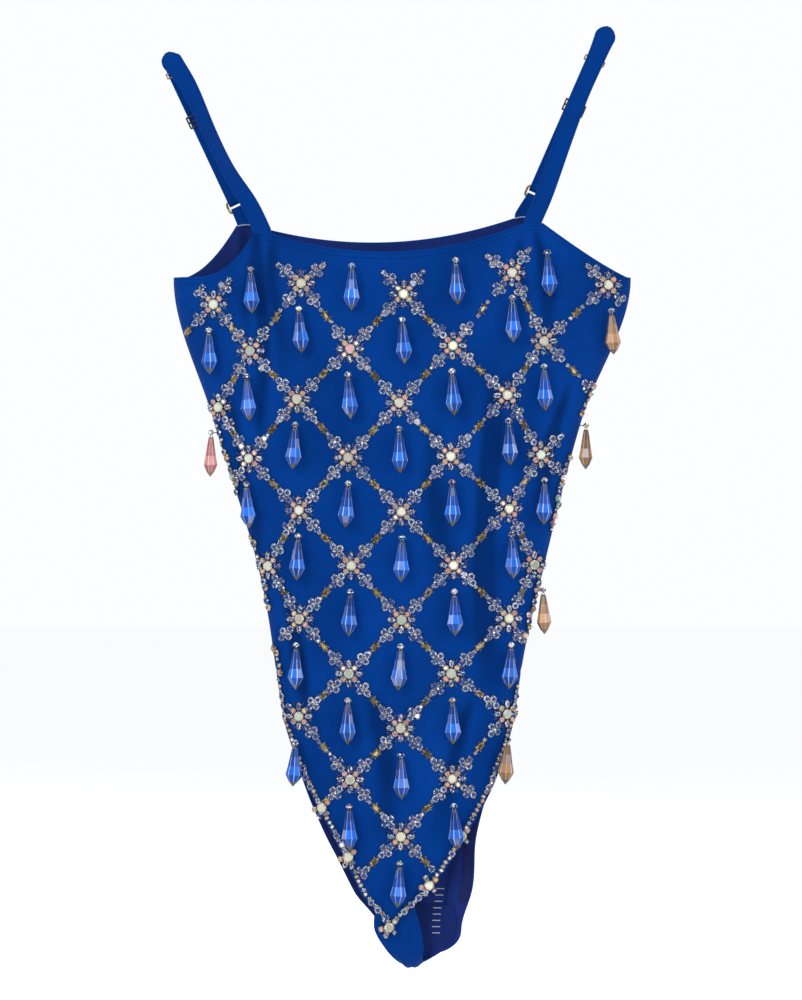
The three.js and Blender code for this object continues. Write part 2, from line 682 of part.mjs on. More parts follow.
// A pendant near a panel's edge hangs from that edge; one further out is left off.
function pendantPlace(column, row) {
  const place = freePlace(column, row);
  const z = place.z - PENDANT_DROP;
  const limit = edgeArc(FRONT, place.arc, z) - EDGE_MARGIN;
  const reachPast = place.arc < 0 ? EDGE_PENDANT_REACH.left : EDGE_PENDANT_REACH.right;
  if (Math.abs(place.arc) > limit + reachPast) return null;
  const arc = Math.sign(place.arc) * Math.min(Math.abs(place.arc), limit);
  const belly = z - PENDANT_LENGTH * BELLY_SHARE;
  if (belly < TIP_Z) return null;
  const chainEdge = limit + EDGE_MARGIN - CHAIN_INSET - CHAIN_WIDTH / 2;
  const onChain = station(belly) > HIPS && Math.abs(arc) + SHANK_RADIUS + LAYER_GAP > chainEdge;
  const bulge = Math.max(0, depth(FRONT, belly) - depth(FRONT, z)); // of the cloth behind the belly
  return { arc, z, standOff: PENDANT_STAND_OFF + bulge, shankFoot: LAYER_GAP + (onChain ? NET_TOP : 0) };
}

function addPendants() {
  for (let row = 0; row < ROW_COUNT; row += 1) {
    const places = netColumns(row).map((column) => pendantPlace(column, row)).filter(Boolean);
    places.forEach((place, i) => {
      const angle = angleAtArc(FRONT, place.arc, place.z);
      const out = outwardNormal(FRONT, angle, place.z);
      const pivot = new THREE.Group();
      pivot.position.copy(onTube(FRONT, angle, place.z, SHELL_THICKNESS + place.standOff));
      pivot.rotation.z = Math.atan2(-out.y, -out.x) - Math.PI / 2;
      suit.add(pivot);
      addPiece(`drop_pendant_${row + 1}_${i + 1}`, pendantGeometry(place.standOff, place.shankFoot), glass(), pivot);
    });
  }
}
addPendants();

// ---------- straps and their hardware ----------
// Points of each strap: X in half busts, Y and Z in millimetres.
const strapPoint = (halfBusts, y, z) => new THREE.Vector3(halfBusts * HALF_BUST, y, z);
const STRAPS = {
  left: {
    ring: strapPoint(-0.7315, 17.5, -128),
    top: strapPoint(-1.0179, 4, -8),
    frontRoute: [
      strapPoint(-0.6598, -19, -136),
      strapPoint(-0.7519, -16.5, -107),
      strapPoint(-0.8389, -13, -73),
      strapPoint(-0.9361, -8.5, -32),
    ],
    twist: 42,
  },
  right: {
    ring: strapPoint(0.6087, 17.5, -119),
    top: strapPoint(0.9054, 4, 14),
    frontRoute: [
      strapPoint(0.624, -19, -128),
      strapPoint(0.711, -15, -80),
      strapPoint(0.7826, -10, -42),
      strapPoint(0.8491, -7.5, -12),
    ],
    twist: 4,
  },
};

const SEWN_END = 2.5; // straight end of a band above its seam

// The local axes of a strap's back run: up along it, across it, and out of its face.
function runAxes({ ring, top }) {
  const up = top.clone().sub(ring).normalize();
  const across = new THREE.Vector3(0, 1, 0).cross(up).normalize();
  const out = up.clone().cross(across).normalize();
  return { up, across, out };
}

function turnedAbout(vector, axis, degrees) {
  return vector.clone().applyAxisAngle(axis, THREE.MathUtils.degToRad(degrees));
}

function strapGeometry(name) {
  const strap = STRAPS[name];
  const { up, across, out } = runAxes(strap);
  const corner = STRAP_CORNERS[FRONT][name];
  const onRun = (height, offset) => strap.ring.clone().addScaledVector(up, height).addScaledVector(out, offset);
  const runLength = strap.top.distanceTo(strap.ring);
  const half = LAYER_SPACING / 2;
  const stations = [];
  const add = (point, widthAxis) => stations.push({ point, across: widthAxis, width: STRAP_WIDTH });

  const seam = onTube(FRONT, angleAtX(corner.x, corner.z), corner.z + SEAM_GAP, SHELL_THICKNESS / 2);
  add(seam, new THREE.Vector3(1, 0, 0));
  const base = seam.clone().add(new THREE.Vector3(0, 0, SEWN_END));
  const foldStart = onRun(runLength, half - 2 * STRAP_FOLD_RADIUS);
  const front = new THREE.CatmullRomCurve3(
    [base, ...strap.frontRoute, foldStart],
    false,
    'centripetal',
  );
  const frontSteps = 14;
  front.getPoints(frontSteps).forEach((point, i) => {
    const share = i / frontSteps;
    const along = front.getTangent(share);
    const flat = new THREE.Vector3(1, 0, 0).lerp(across, Math.min(1, share * 3));
    add(point, turnedAbout(flat, along, strap.twist * Math.sin(Math.PI * share) ** 2));
  });
  for (let degrees = 15; degrees <= 165; degrees += 30) {
    const angle = THREE.MathUtils.degToRad(degrees);
    const height = runLength + STRAP_FOLD_RADIUS * Math.sin(angle);
    add(onRun(height, half - STRAP_FOLD_RADIUS - STRAP_FOLD_RADIUS * Math.cos(angle)), across);
  }
  const travelEnd = SLIDER_DISTANCE - SLIDER_TRAVEL - SLIDER_LENGTH;
  add(onRun(runLength, half), across);
  add(onRun(travelEnd, half), across);
  for (let degrees = 0; degrees <= 180; degrees += 30) {
    const angle = THREE.MathUtils.degToRad(degrees);
    add(onRun(-RING_FOLD_RADIUS * Math.sin(angle), RING_FOLD_RADIUS * Math.cos(angle)), across);
  }
  add(onRun(travelEnd, -half), across);
  add(onRun(SLIDER_DISTANCE + SLIDER_LENGTH / 2, -half), across);
  return closedBand(stations, -STRAP_THICKNESS / 2, STRAP_THICKNESS / 2);
}

function tabGeometry(name) {
  const strap = STRAPS[name];
  const { up, across, out } = runAxes(strap);
  const corner = STRAP_CORNERS[BACK][name];
  const bar = strap.ring.clone().addScaledVector(up, -RING_SPACING);
  const footZ = corner.z + SEAM_GAP + LAYER_GAP;
  const foot = onTube(BACK, angleAtX(corner.x, corner.z), footZ, SHELL_THICKNESS / 2);
  const spread = STRAP_THICKNESS / 2 + 0.25;
  const stations = [];
  const addSewn = (height, hand) => stations.push({
    point: foot.clone().add(new THREE.Vector3(0, hand * spread, height)),
    across: new THREE.Vector3(1, 0, 0),
    width: STRAP_WIDTH,
  });
  addSewn(0, 1);
  addSewn(SEWN_END, 1);
  for (let degrees = 0; degrees <= 180; degrees += 30) {
    const angle = THREE.MathUtils.degToRad(degrees);
    const point = bar.clone()
      .addScaledVector(up, TAB_FOLD_RADIUS * Math.sin(angle))
      .addScaledVector(out, TAB_FOLD_RADIUS * Math.cos(angle));
    stations.push({ point, across, width: STRAP_WIDTH });
  }
  addSewn(SEWN_END, -1);
  addSewn(0, -1);
  return closedBand(stations, -STRAP_THICKNESS / 2, STRAP_THICKNESS / 2);
}

// A flat outline with rounded ends and openings, thickened about its own plane.
function roundedOutline(shape, width, height, radius) {
  const [x, y] = [width / 2, height / 2];
  shape.moveTo(-x + radius, -y);
  shape.lineTo(x - radius, -y);
  shape.absarc(x - radius, -y + radius, radius, -Math.PI / 2, 0, false);
  shape.lineTo(x, y - radius);
  shape.absarc(x - radius, y - radius, radius, 0, Math.PI / 2, false);
  shape.lineTo(-x + radius, y);
  shape.absarc(-x + radius, y - radius, radius, Math.PI / 2, Math.PI, false);
  shape.lineTo(-x, -y + radius);
  shape.absarc(-x + radius, -y + radius, radius, Math.PI, 1.5 * Math.PI, false);
  return shape;
}

function loopGeometry(openingWidth, openingHeight, thickness) {
  const outer = roundedOutline(new THREE.Shape(), openingWidth + 2 * WIRE, openingHeight + 2 * WIRE, 2.2);
  outer.holes.push(roundedOutline(new THREE.Path(), openingWidth, openingHeight, 0.8));
  const loop = new THREE.ExtrudeGeometry(outer, { depth: thickness, bevelEnabled: false, curveSegments: 3 });
  loop.translate(0, 0, -thickness / 2);
  return loop;
}

function placedOnRun(strap, height, offset) {
  const { up, across, out } = runAxes(strap);
  const group = new THREE.Group();
  group.quaternion.setFromRotationMatrix(new THREE.Matrix4().makeBasis(across, up, across.clone().cross(up)));
  group.position.copy(strap.ring).addScaledVector(up, height).addScaledVector(out, offset);
  suit.add(group);
  return group;
}

// The slider is a short sleeve with a middle bar: one slot for each layer of the strap.
function sliderGeometry() {
  const slot = STRAP_THICKNESS + 2 * SLIDER_SLOT_CLEARANCE;
  const openingWidth = STRAP_WIDTH + 2 * RING_CLEARANCE;
  const outer = roundedOutline(new THREE.Shape(), openingWidth + 2 * WIRE, 2 * slot + WIRE + 2 * 1.2, 1.6);
  for (const hand of [-1, 1]) {
    const opening = new THREE.Path();
    const middleOfSlot = hand * (slot + WIRE) / 2;
    opening.moveTo(-openingWidth / 2, middleOfSlot - slot / 2);
    opening.lineTo(openingWidth / 2, middleOfSlot - slot / 2);
    opening.lineTo(openingWidth / 2, middleOfSlot + slot / 2);
    opening.lineTo(-openingWidth / 2, middleOfSlot + slot / 2);
    opening.closePath();
    outer.holes.push(opening);
  }
  const sleeve = new THREE.ExtrudeGeometry(outer, { depth: SLIDER_LENGTH, bevelEnabled: false, curveSegments: 3 });
  sleeve.translate(0, 0, -SLIDER_LENGTH / 2);
  sleeve.rotateX(Math.PI / 2);
  return sleeve;
}

function keeperGeometry() {
  const opening = STRAP_THICKNESS + 2 * SLIDER_SLOT_CLEARANCE;
  const sleeve = loopGeometry(STRAP_WIDTH + 2 * RING_CLEARANCE, opening, KEEPER_LENGTH);
  sleeve.rotateX(Math.PI / 2);
  return sleeve;
}

for (const name of ['left', 'right']) {
  const strap = STRAPS[name];
  addPiece(`${name}_strap`, strapGeometry(name), royalBlue());
  addPiece(`${name}_back_tab`, tabGeometry(name), royalBlue());
  addPiece(
    `${name}_ring`,
    loopGeometry(STRAP_WIDTH + 2 * RING_CLEARANCE, RING_SPACING - WIRE, WIRE),
    paleGold(),
    placedOnRun(strap, -RING_SPACING / 2, 0),
  );
  addPiece(`${name}_slider`, sliderGeometry(), paleGold(), placedOnRun(strap, SLIDER_DISTANCE, 0));
  addPiece(`${name}_keeper`, keeperGeometry(), paleGold(), placedOnRun(strap, KEEPER_DISTANCE, LAYER_SPACING / 2));
}

export default suit;
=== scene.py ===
"""The looks of an embellished stretch bodysuit that hangs by its two straps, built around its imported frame.

Lengths are in millimetres and become metres in make_piece(). +Z is up and the front faces -Y.
A place on the cloth is (arc, z): the distance along the cloth from the centre line, and the height.
"""

import json
import math

import bpy
import numpy as np
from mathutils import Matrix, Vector


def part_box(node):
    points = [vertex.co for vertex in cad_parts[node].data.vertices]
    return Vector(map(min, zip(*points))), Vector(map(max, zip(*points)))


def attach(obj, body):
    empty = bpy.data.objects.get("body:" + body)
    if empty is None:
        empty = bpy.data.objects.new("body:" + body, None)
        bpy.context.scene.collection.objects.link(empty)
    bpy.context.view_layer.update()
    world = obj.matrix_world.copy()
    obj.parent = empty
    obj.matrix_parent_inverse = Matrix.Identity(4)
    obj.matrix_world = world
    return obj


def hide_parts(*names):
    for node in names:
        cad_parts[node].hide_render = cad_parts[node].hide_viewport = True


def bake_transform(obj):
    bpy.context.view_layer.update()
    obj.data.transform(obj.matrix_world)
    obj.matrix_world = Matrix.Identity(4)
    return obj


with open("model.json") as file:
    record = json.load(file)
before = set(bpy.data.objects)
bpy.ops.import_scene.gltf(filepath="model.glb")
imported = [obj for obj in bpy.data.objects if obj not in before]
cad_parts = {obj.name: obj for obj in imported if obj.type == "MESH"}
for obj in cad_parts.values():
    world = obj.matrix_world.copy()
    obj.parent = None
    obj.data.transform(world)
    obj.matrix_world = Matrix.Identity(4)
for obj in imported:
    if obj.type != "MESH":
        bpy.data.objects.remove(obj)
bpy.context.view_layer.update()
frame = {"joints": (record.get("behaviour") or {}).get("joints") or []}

MM = 0.001
FRONT, BACK = -1, 1
SIDES = {FRONT: "front", BACK: "back"}
HANDS = {-1: "left", 1: "right"}
random = np.random.default_rng(20)


def node_box(node):
    """Lowest and highest corner of a CAD node, in millimetres."""
    low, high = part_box(node)
    return np.array(low) / MM, np.array(high) / MM


# ---------- driving dimensions ----------
UNDERARM_Z = -198.0
TIP_Z = node_box("front_panel")[0][2]
BODY_LENGTH = UNDERARM_Z - TIP_Z
HALF_BUST = 195.5
RIBS, WAIST, HIPS = 0.215, 0.455, 0.593  # shares of the body's length below the underarm
FRONT_DEPTH, BACK_DEPTH = 2 * HALF_BUST * 0.0742, 2 * HALF_BUST * 0.064
SHELL, LINING, GUSSET = 1.0, 0.7, 1.4  # thicknesses
LAYER_GAP = 0.4
SEAM_GAP = 0.5
GUSSET_DROP, GUSSET_OVERLAP = 31.0, 22.0
COLUMN_PITCH, ROW_PITCH = 2 * HALF_BUST * 0.1125, BODY_LENGTH * 0.08235
# Columns -5 to 5, in pitches from the centre line: the straps gather the outer ones inward.
COLUMN_PLACES = (-4.7, -3.66, -2.9, -1.95, -0.96, 0.03, 1.02, 2.12, 2.78, 4.02, 5)
FIRST_ROW_Z = UNDERARM_Z - 15
ROW_COUNT = 12
STRAP_LIFT, LEG_LIFT = 14.0, 10.0
EDGE_MARGIN, TOP_MARGIN = 4.5, 7.0
FLORET_INSET, EDGE_GATHER = 12.0, 18.0
CHAIN_INSET = 4.0
PENDANT_DROP = 22.0
STRAP_WIDTH, STRAP_THICKNESS = 15.0, 1.4
STRAP_FOLD, RING_FOLD, TAB_FOLD = 5.0, 3.8, 2.7
WIRE = 2.0
RING_SPACING = 9.4
RING_CLEARANCE = 0.8
SLIDER_LENGTH, SLIDER_DISTANCE = 11.0, 76.0
KEEPER_LENGTH, KEEPER_DISTANCE = 5.0, 120.0
SLOT = STRAP_THICKNESS + 1.4
LAYER_SPACING = WIRE + SLOT


# ---------- the hanging body's outline ----------
def profile(*stations):
    """A smooth curve through (position, value) stations."""
    places, values = np.array(stations, float).T
    last = len(places) - 1

    def at(position):
        t = np.clip(np.asarray(position, float), places[0], places[-1])
        i = np.clip(np.searchsorted(places, t, side="right"), 1, last)
        t0, t1, v0, v1 = places[i - 1], places[i], values[i - 1], values[i]
        after = np.minimum(i + 1, last)
        t_before = np.where(i > 1, places[i - 2], 2 * t0 - t1)
        t_after = np.where(i < last, places[after], 2 * t1 - t0)
        before = np.where(i > 1, values[i - 2], v1)
        beyond = np.where(i < last, values[after], v0)
        half = (t1 - t0) / 2
        w0, w1 = half / (t0 - t_before), half / (t_after - t1)
        p = (t - t0) / (t1 - t0)
        a = -w0 * p**3 + 2 * w0 * p**2 - w0 * p
        b = (1 + w0) * p**3 + (-1.5 - 2 * w0) * p**2 + (-0.5 + w0) * p + 1
        c = (-1 - w1) * p**3 + (1.5 + w1) * p**2 + 0.5 * p
        d = w1 * p**3 - w1 * p**2
        return a * before + b * v0 + c * v1 + d * beyond

    return at


tube_half_width = profile((0, HALF_BUST), (RIBS, 157.5), (WAIST, 120), (HIPS, 105), (1.1, 75))
centre_line = profile((0, 1), (RIBS, -3), (WAIST, 0), (HIPS, -2), (0.88, -2), (1, -9))
depth_share = profile((0, 0.94), (0.09, 1), (0.27, 0.88), (WAIST, 0.7), (HIPS, 0.7), (0.8, 0.66), (1, 0.46))
leg_half_width = {
    FRONT: profile((HIPS, 104), (0.756, 84), (0.854, 56), (0.934, 30), (1, 3)),
    BACK: profile((HIPS, 104), (0.756, 83), (0.872, 62), (0.94, 51), (1, 35)),
}
leg_shift = {
    FRONT: lambda at: np.zeros_like(at),
    BACK: profile((HIPS, 0), (0.85, 1), (0.94, 16), (1, 26)),
}
DEPTH_AT_SIDE = {FRONT: FRONT_DEPTH, BACK: BACK_DEPTH}
SEAM_ANGLE = {side: math.acos(SEAM_GAP / 2 / (deep * 0.46)) for side, deep in DEPTH_AT_SIDE.items()}


def station(z):
    return (UNDERARM_Z - np.asarray(z, float)) / BODY_LENGTH


def depth(side, z):
    return DEPTH_AT_SIDE[side] * depth_share(station(z))


def half_width(z):
    return tube_half_width(np.maximum(0, station(z)))


def middle(z):
    return centre_line(np.maximum(0, station(z)))


def on_tube(side, angle, z, lift=0.0):
    """A point of the tube: angle 0 is the centre line, +-90 degrees the side seams."""
    angle, z, lift = np.broadcast_arrays(angle, np.asarray(z, float), lift)
    width, deep = half_width(z), depth(side, z)
    across, outward = np.sin(angle) / width, np.cos(angle) / deep
    scale = lift / np.hypot(across, outward)
    x = middle(z) + width * np.sin(angle) + across * scale
    return np.stack([x, side * (deep * np.cos(angle) + outward * scale), z], -1)


def angle_at_x(x, z):
    return np.arcsin(np.clip((x - middle(z)) / half_width(z), -1, 1))


ARC_STEPS = 60
ARC_STEP = math.pi / 2 / ARC_STEPS


def angle_at_arc(side, arc, z):
    """The angle that lies a given distance along the cloth from the centre line."""
    arc, z = np.broadcast_arrays(np.asarray(arc, float), np.asarray(z, float))
    flat_arc, flat_z = np.abs(arc).ravel(), z.ravel()
    middles = (np.arange(ARC_STEPS) + 0.5) * ARC_STEP
    width, deep = half_width(flat_z)[:, None], depth(side, flat_z)[:, None]
    pieces = np.hypot(width * np.cos(middles), deep * np.sin(middles)) * ARC_STEP
    travelled = np.cumsum(pieces, axis=1) - pieces
    i = np.clip((travelled <= flat_arc[:, None]).sum(1) - 1, 0, ARC_STEPS - 1)
    rows = np.arange(len(i))
    share = np.minimum((flat_arc - travelled[rows, i]) / pieces[rows, i], 1)
    return (np.sign(arc).ravel() * (i + share) * ARC_STEP).reshape(arc.shape)


STRAP_CORNERS = {
    FRONT: {-1: (-0.6036 * HALF_BUST, -161), 1: (0.5754 * HALF_BUST, -152)},
    BACK: {-1: (-0.6854 * HALF_BUST, -151), 1: (0.5422 * HALF_BUST, -144)},
}
NECK_SAG = {FRONT: 20, BACK: 17}
ARMHOLE_HOLLOW = {FRONT: {-1: 3.5, 1: 1.2}, BACK: {-1: 1.9, 1: 1.4}}
CORNER_REACH = STRAP_WIDTH / 2 + 1


def top_edge(side, x):
    (left_x, left_z), (right_x, right_z) = STRAP_CORNERS[side][-1], STRAP_CORNERS[side][1]
    left_end, right_end = middle(UNDERARM_Z) - HALF_BUST, middle(UNDERARM_Z) + HALF_BUST
    left_in, right_in = left_x - CORNER_REACH, right_x + CORNER_REACH
    left_share = np.clip((x - left_end) / (left_in - left_end), 0, 1) ** ARMHOLE_HOLLOW[side][-1]
    right_share = np.clip((right_end - x) / (right_end - right_in), 0, 1) ** ARMHOLE_HOLLOW[side][1]
    span = right_x - left_x - 2 * CORNER_REACH
    share = np.clip((x - left_x - CORNER_REACH) / span, 0, 1)
    neck = left_z + (right_z - left_z) * share - 4 * NECK_SAG[side] * share * (1 - share)
    at_left = UNDERARM_Z + (left_z - UNDERARM_Z) * left_share
    at_right = UNDERARM_Z + (right_z - UNDERARM_Z) * right_share
    return np.where(x < left_in, at_left, np.where(x > right_in, at_right, neck))


def edge_angles(side, z):
    """Left and right edge of a panel at a height, as angles on the tube."""
    at = station(z)
    centre, half = middle(z) + leg_shift[side](at), leg_half_width[side](at)
    limit = SEAM_ANGLE[side]
    left = np.where(at <= HIPS, -limit, np.maximum(-limit, angle_at_x(centre - half, z)))
    right = np.where(at <= HIPS, limit, np.minimum(limit, angle_at_x(centre + half, z)))
    return left, right


def edge_arc(side, hand, z):
    """Distance along the cloth from the centre line to a panel's edge."""
    z = np.asarray(z, float)
    left, right = edge_angles(side, z)
    target = np.where(np.asarray(hand) < 0, -left, right)
    steps = 40
    angles = (np.arange(steps) + 0.5) / steps * target[..., None]
    width, deep = half_width(z)[..., None], depth(side, z)[..., None]
    return (np.hypot(width * np.cos(angles), deep * np.sin(angles)).sum(-1)) * target / steps


# ---------- soft folds in the cloth ----------
# Each fold: upper end (x, z), lower end (x, z), half width, depth of the valley.
FOLDS = {
    FRONT: [
        ((-121, -162), (-118, -370), 4.5, 2.6),
        ((-131, -180), (-128, -262), 4, 1.6),
        ((-110, -170), (-104, -300), 6, 1.4),
        ((77, -300), (70, -590), 8, 2.6),
        ((118, -160), (129, -262), 5, 2.0),
        ((104, -165), (100, -250), 5, 1.2),
        ((-100, -470), (-70, -600), 5, 2.0),
        ((-20, -560), (-6, -700), 8, 1.6),
        ((60, -560), (22, -690), 6, 1.6),
        ((-150, -300), (-112, -470), 6, 1.4),
        ((140, -290), (112, -430), 5, 1.8),
        ((28, -330), (34, -480), 9, 1.2),
    ],
    BACK: [
        ((-134, -155), (-128, -330), 5, 2.4),
        ((106, -150), (112, -320), 5, 2.4),
        ((-60, -260), (-40, -520), 9, 2.2),
        ((50, -300), (60, -560), 9, 2.4),
        ((0, -420), (12, -700), 8, 2.4),
        ((-30, -600), (10, -730), 5, 1.8),
        ((48, -640), (38, -745), 4, 1.8),
    ],
}


def fold_depth(side, x, z):
    """How far the cloth is pressed inward from its smooth hanging surface."""
    total = 0.35 + 0.35 * np.sin(x / 23 + 1.3 * np.sin(z / 61)) * np.sin(z / 47 + side)
    for (x0, z0), (x1, z1), width, deep in FOLDS[side]:
        along = (z0 - z) / (z0 - z1)
        centre = x0 + (x1 - x0) * along + 2.5 * np.sin(along * 7 + x0)
        spread = width * (0.8 + 0.5 * np.clip(along, 0, 1))
        fade = np.clip(np.minimum(along * 6 + 0.4, (1 - along) * 1.6), 0, 1)
        across = (x - centre) / spread
        ridges = 0.22 * np.exp(-(((np.abs(across) - 2) / 0.9) ** 2))
        total = total + deep * fade * (np.exp(-(across**2)) - ridges)
    return np.maximum(total, -0.5)


def on_cloth(side, angle, z, lift=0.0):
    smooth_x = middle(z) + half_width(z) * np.sin(angle)
    pressed = fold_depth(side, smooth_x, z) * np.cos(angle) ** 2
    return on_tube(side, angle, z, lift - pressed)


def cloth_place(side, arc, z, lift=0.0):
    return on_cloth(side, angle_at_arc(side, arc, z), z, lift)


def cloth_axes(side, arc, z, lift=0.0):
    """Point, axis along the arc, axis up the cloth, and outward normal at places on the cloth."""
    step = 0.5
    point = cloth_place(side, arc, z, lift)
    along = cloth_place(side, arc + step, z, lift) - cloth_place(side, arc - step, z, lift)
    up = cloth_place(side, arc, z + step, lift) - cloth_place(side, arc, z - step, lift)
    along = unit(along)
    normal = unit(np.cross(along, up)) * (1.0 if side == FRONT else -1.0)
    up = unit(up - along * (up * along).sum(-1, keepdims=True))
    return point, along, up, normal


def distances(path):
    """How far along a path each of its points is."""
    return np.concatenate([[0], np.cumsum(np.linalg.norm(np.diff(path, axis=0), axis=1))])


def unit(vector):
    vector = np.asarray(vector, float)
    return vector / np.linalg.norm(vector, axis=-1, keepdims=True)


# ---------- materials ----------
def new_material(name, base, roughness, metallic=0.0, **sockets):
    material = bpy.data.materials.new(name)
    material.use_nodes = True
    shader = material.node_tree.nodes["Principled BSDF"]
    shader.inputs["Base Color"].default_value = (*base, 1)
    shader.inputs["Roughness"].default_value = roughness
    shader.inputs["Metallic"].default_value = metallic
    for socket, value in sockets.items():
        shader.inputs[socket.replace("_", " ")].default_value = value
    return material


class Nodes:
    """Adds nodes to a material and links them."""

    def __init__(self, material):
        self.tree = material.node_tree
        self.shader = self.tree.nodes["Principled BSDF"]

    def add(self, kind, settings=None, **inputs):
        node = self.tree.nodes.new(kind)
        for key, value in (settings or {}).items():
            setattr(node, key, value)
        for key, value in inputs.items():
            socket = node.inputs[key.replace("_", " ")]
            if isinstance(value, bpy.types.NodeSocket):
                self.tree.links.new(value, socket)
            else:
                socket.default_value = value
        return node

    def attribute(self, name, output):
        return self.add("ShaderNodeAttribute", {"attribute_name": name}).outputs[output]

    def math(self, operation, a, b):
        node = self.add("ShaderNodeMath", {"operation": operation})
        for socket, value in zip(node.inputs, (a, b)):
            if isinstance(value, bpy.types.NodeSocket):
                self.tree.links.new(value, socket)
            else:
                socket.default_value = value
        return node.outputs[0]

    def ramp(self, factor, *stops):
        node = self.add("ShaderNodeValToRGB", Fac=factor)
        elements = node.color_ramp.elements
        while len(elements) < len(stops):
            elements.new(0.5)
        for element, (position, colour) in zip(elements, stops):
            element.position = position
            element.color = (*colour, 1) if len(colour) == 3 else colour
        return node.outputs["Color"]

    def to_shader(self, output, socket):
        self.tree.links.new(output, self.shader.inputs[socket])

    def bump(self, height, strength, distance):
        node = self.add("ShaderNodeBump", Height=height, Strength=strength, Distance=distance)
        self.to_shader(node.outputs[0], "Normal")


def shaded(colour, share):
    return tuple(c * share for c in colour)


def knit(name, colour, sheen, rib_pitch, contrast=0.16):
    """A fine warp knit in cloth coordinates: ribs of loops, slow dye variation, and painted shade in the
    folds with painted light on their ridges.
    """
    material = new_material(
        name, colour, 0.62, Sheen_Weight=sheen, Sheen_Roughness=0.5, Specular_IOR_Level=0.12,
        Sheen_Tint=(0.02, 0.22, 1.0, 1), Specular_Tint=(0.1, 0.35, 1.0, 1),
    )
    nodes = Nodes(material)
    cloth = nodes.attribute("cloth", "Vector")
    wale = 2 * math.pi / 20 / rib_pitch
    ribs = nodes.add("ShaderNodeTexWave", {"bands_direction": "X"}, Vector=cloth, Scale=wale, Distortion=0.6)
    loops = nodes.add(
        "ShaderNodeTexWave", {"bands_direction": "Y"}, Vector=cloth, Scale=wale * 1.35, Distortion=0.4
    )
    weave = nodes.math("MULTIPLY", ribs.outputs["Fac"], loops.outputs["Fac"])
    slow = nodes.add("ShaderNodeTexNoise", Vector=cloth, Scale=0.022, Detail=4.0, Roughness=0.55)
    fibre = nodes.add("ShaderNodeTexNoise", Vector=cloth, Scale=1.4, Detail=3.0, Roughness=0.7)
    slow_tone = nodes.math("MULTIPLY", slow.outputs["Fac"], 0.7)
    tone = nodes.math("ADD", slow_tone, nodes.math("MULTIPLY", fibre.outputs["Fac"], 0.3))
    # painted shade: the base colour is darkened where the cloth folds inward and lightened on the fold ridges
    hollow = nodes.attribute("hollow", "Fac")
    tone = nodes.math("SUBTRACT", tone, hollow)
    low, high = shaded(colour, 1 - 2.4 * contrast), shaded(colour, 1 + 1.3 * contrast)
    nodes.to_shader(nodes.ramp(tone, (0.1, low), (0.55, colour), (0.8, high)), "Base Color")
    rough = nodes.add("ShaderNodeMapRange", Value=fibre.outputs["Fac"], To_Min=0.54, To_Max=0.7)
    nodes.to_shader(rough.outputs[0], "Roughness")
    height = nodes.math("ADD", weave, nodes.math("MULTIPLY", fibre.outputs["Fac"], 0.8))
    nodes.bump(height, 0.35, 0.00015)
    return material


def gem(name, roughness, metallic, **sockets):
    """Cut glass: each facet's colour comes from its facet attribute, the glass's own colour mixed with
    painted reflections, highlights and see-through, with faint clouding inside.
    """
    material = new_material(name, (0.8, 0.8, 0.8), roughness, metallic, **sockets)
    nodes = Nodes(material)
    facet = nodes.attribute("facet", "Color")
    place = nodes.add("ShaderNodeTexCoord").outputs["Object"]
    cloud = nodes.add("ShaderNodeTexNoise", Vector=place, Scale=420.0, Detail=2.0)
    share = nodes.add("ShaderNodeMapRange", Value=cloud.outputs["Fac"], To_Min=0.82, To_Max=1.12)
    tinted = nodes.add("ShaderNodeVectorMath", {"operation": "SCALE"})
    nodes.tree.links.new(facet, tinted.inputs[0])
    nodes.tree.links.new(share.outputs[0], tinted.inputs["Scale"])
    nodes.to_shader(tinted.outputs[0], "Base Color")
    scratch = nodes.add("ShaderNodeTexNoise", Vector=place, Scale=1500.0, Detail=2.0)
    rough = nodes.add(
        "ShaderNodeMapRange", Value=scratch.outputs["Fac"], To_Min=roughness * 0.5, To_Max=roughness * 1.8
    )
    nodes.to_shader(rough.outputs[0], "Roughness")
    return material


def plated(name, colour, worn, roughness):
    """Plated metal: brushed bumps, and the plating rubbed darker in patches."""
    material = new_material(name, colour, roughness, 1.0)
    nodes = Nodes(material)
    place = nodes.add("ShaderNodeTexCoord").outputs["Object"]
    patch = nodes.add("ShaderNodeTexNoise", Vector=place, Scale=260.0, Detail=4.0, Roughness=0.65)
    nodes.to_shader(nodes.ramp(patch.outputs["Fac"], (0.35, worn), (0.62, colour)), "Base Color")
    grain = nodes.add("ShaderNodeTexNoise", Vector=place, Scale=2600.0, Detail=2.0)
    rough = nodes.add(
        "ShaderNodeMapRange", Value=patch.outputs["Fac"], To_Min=roughness * 1.6, To_Max=roughness * 0.7
    )
    nodes.to_shader(rough.outputs[0], "Roughness")
    nodes.bump(grain.outputs["Fac"], 0.15, 0.0001)
    return material


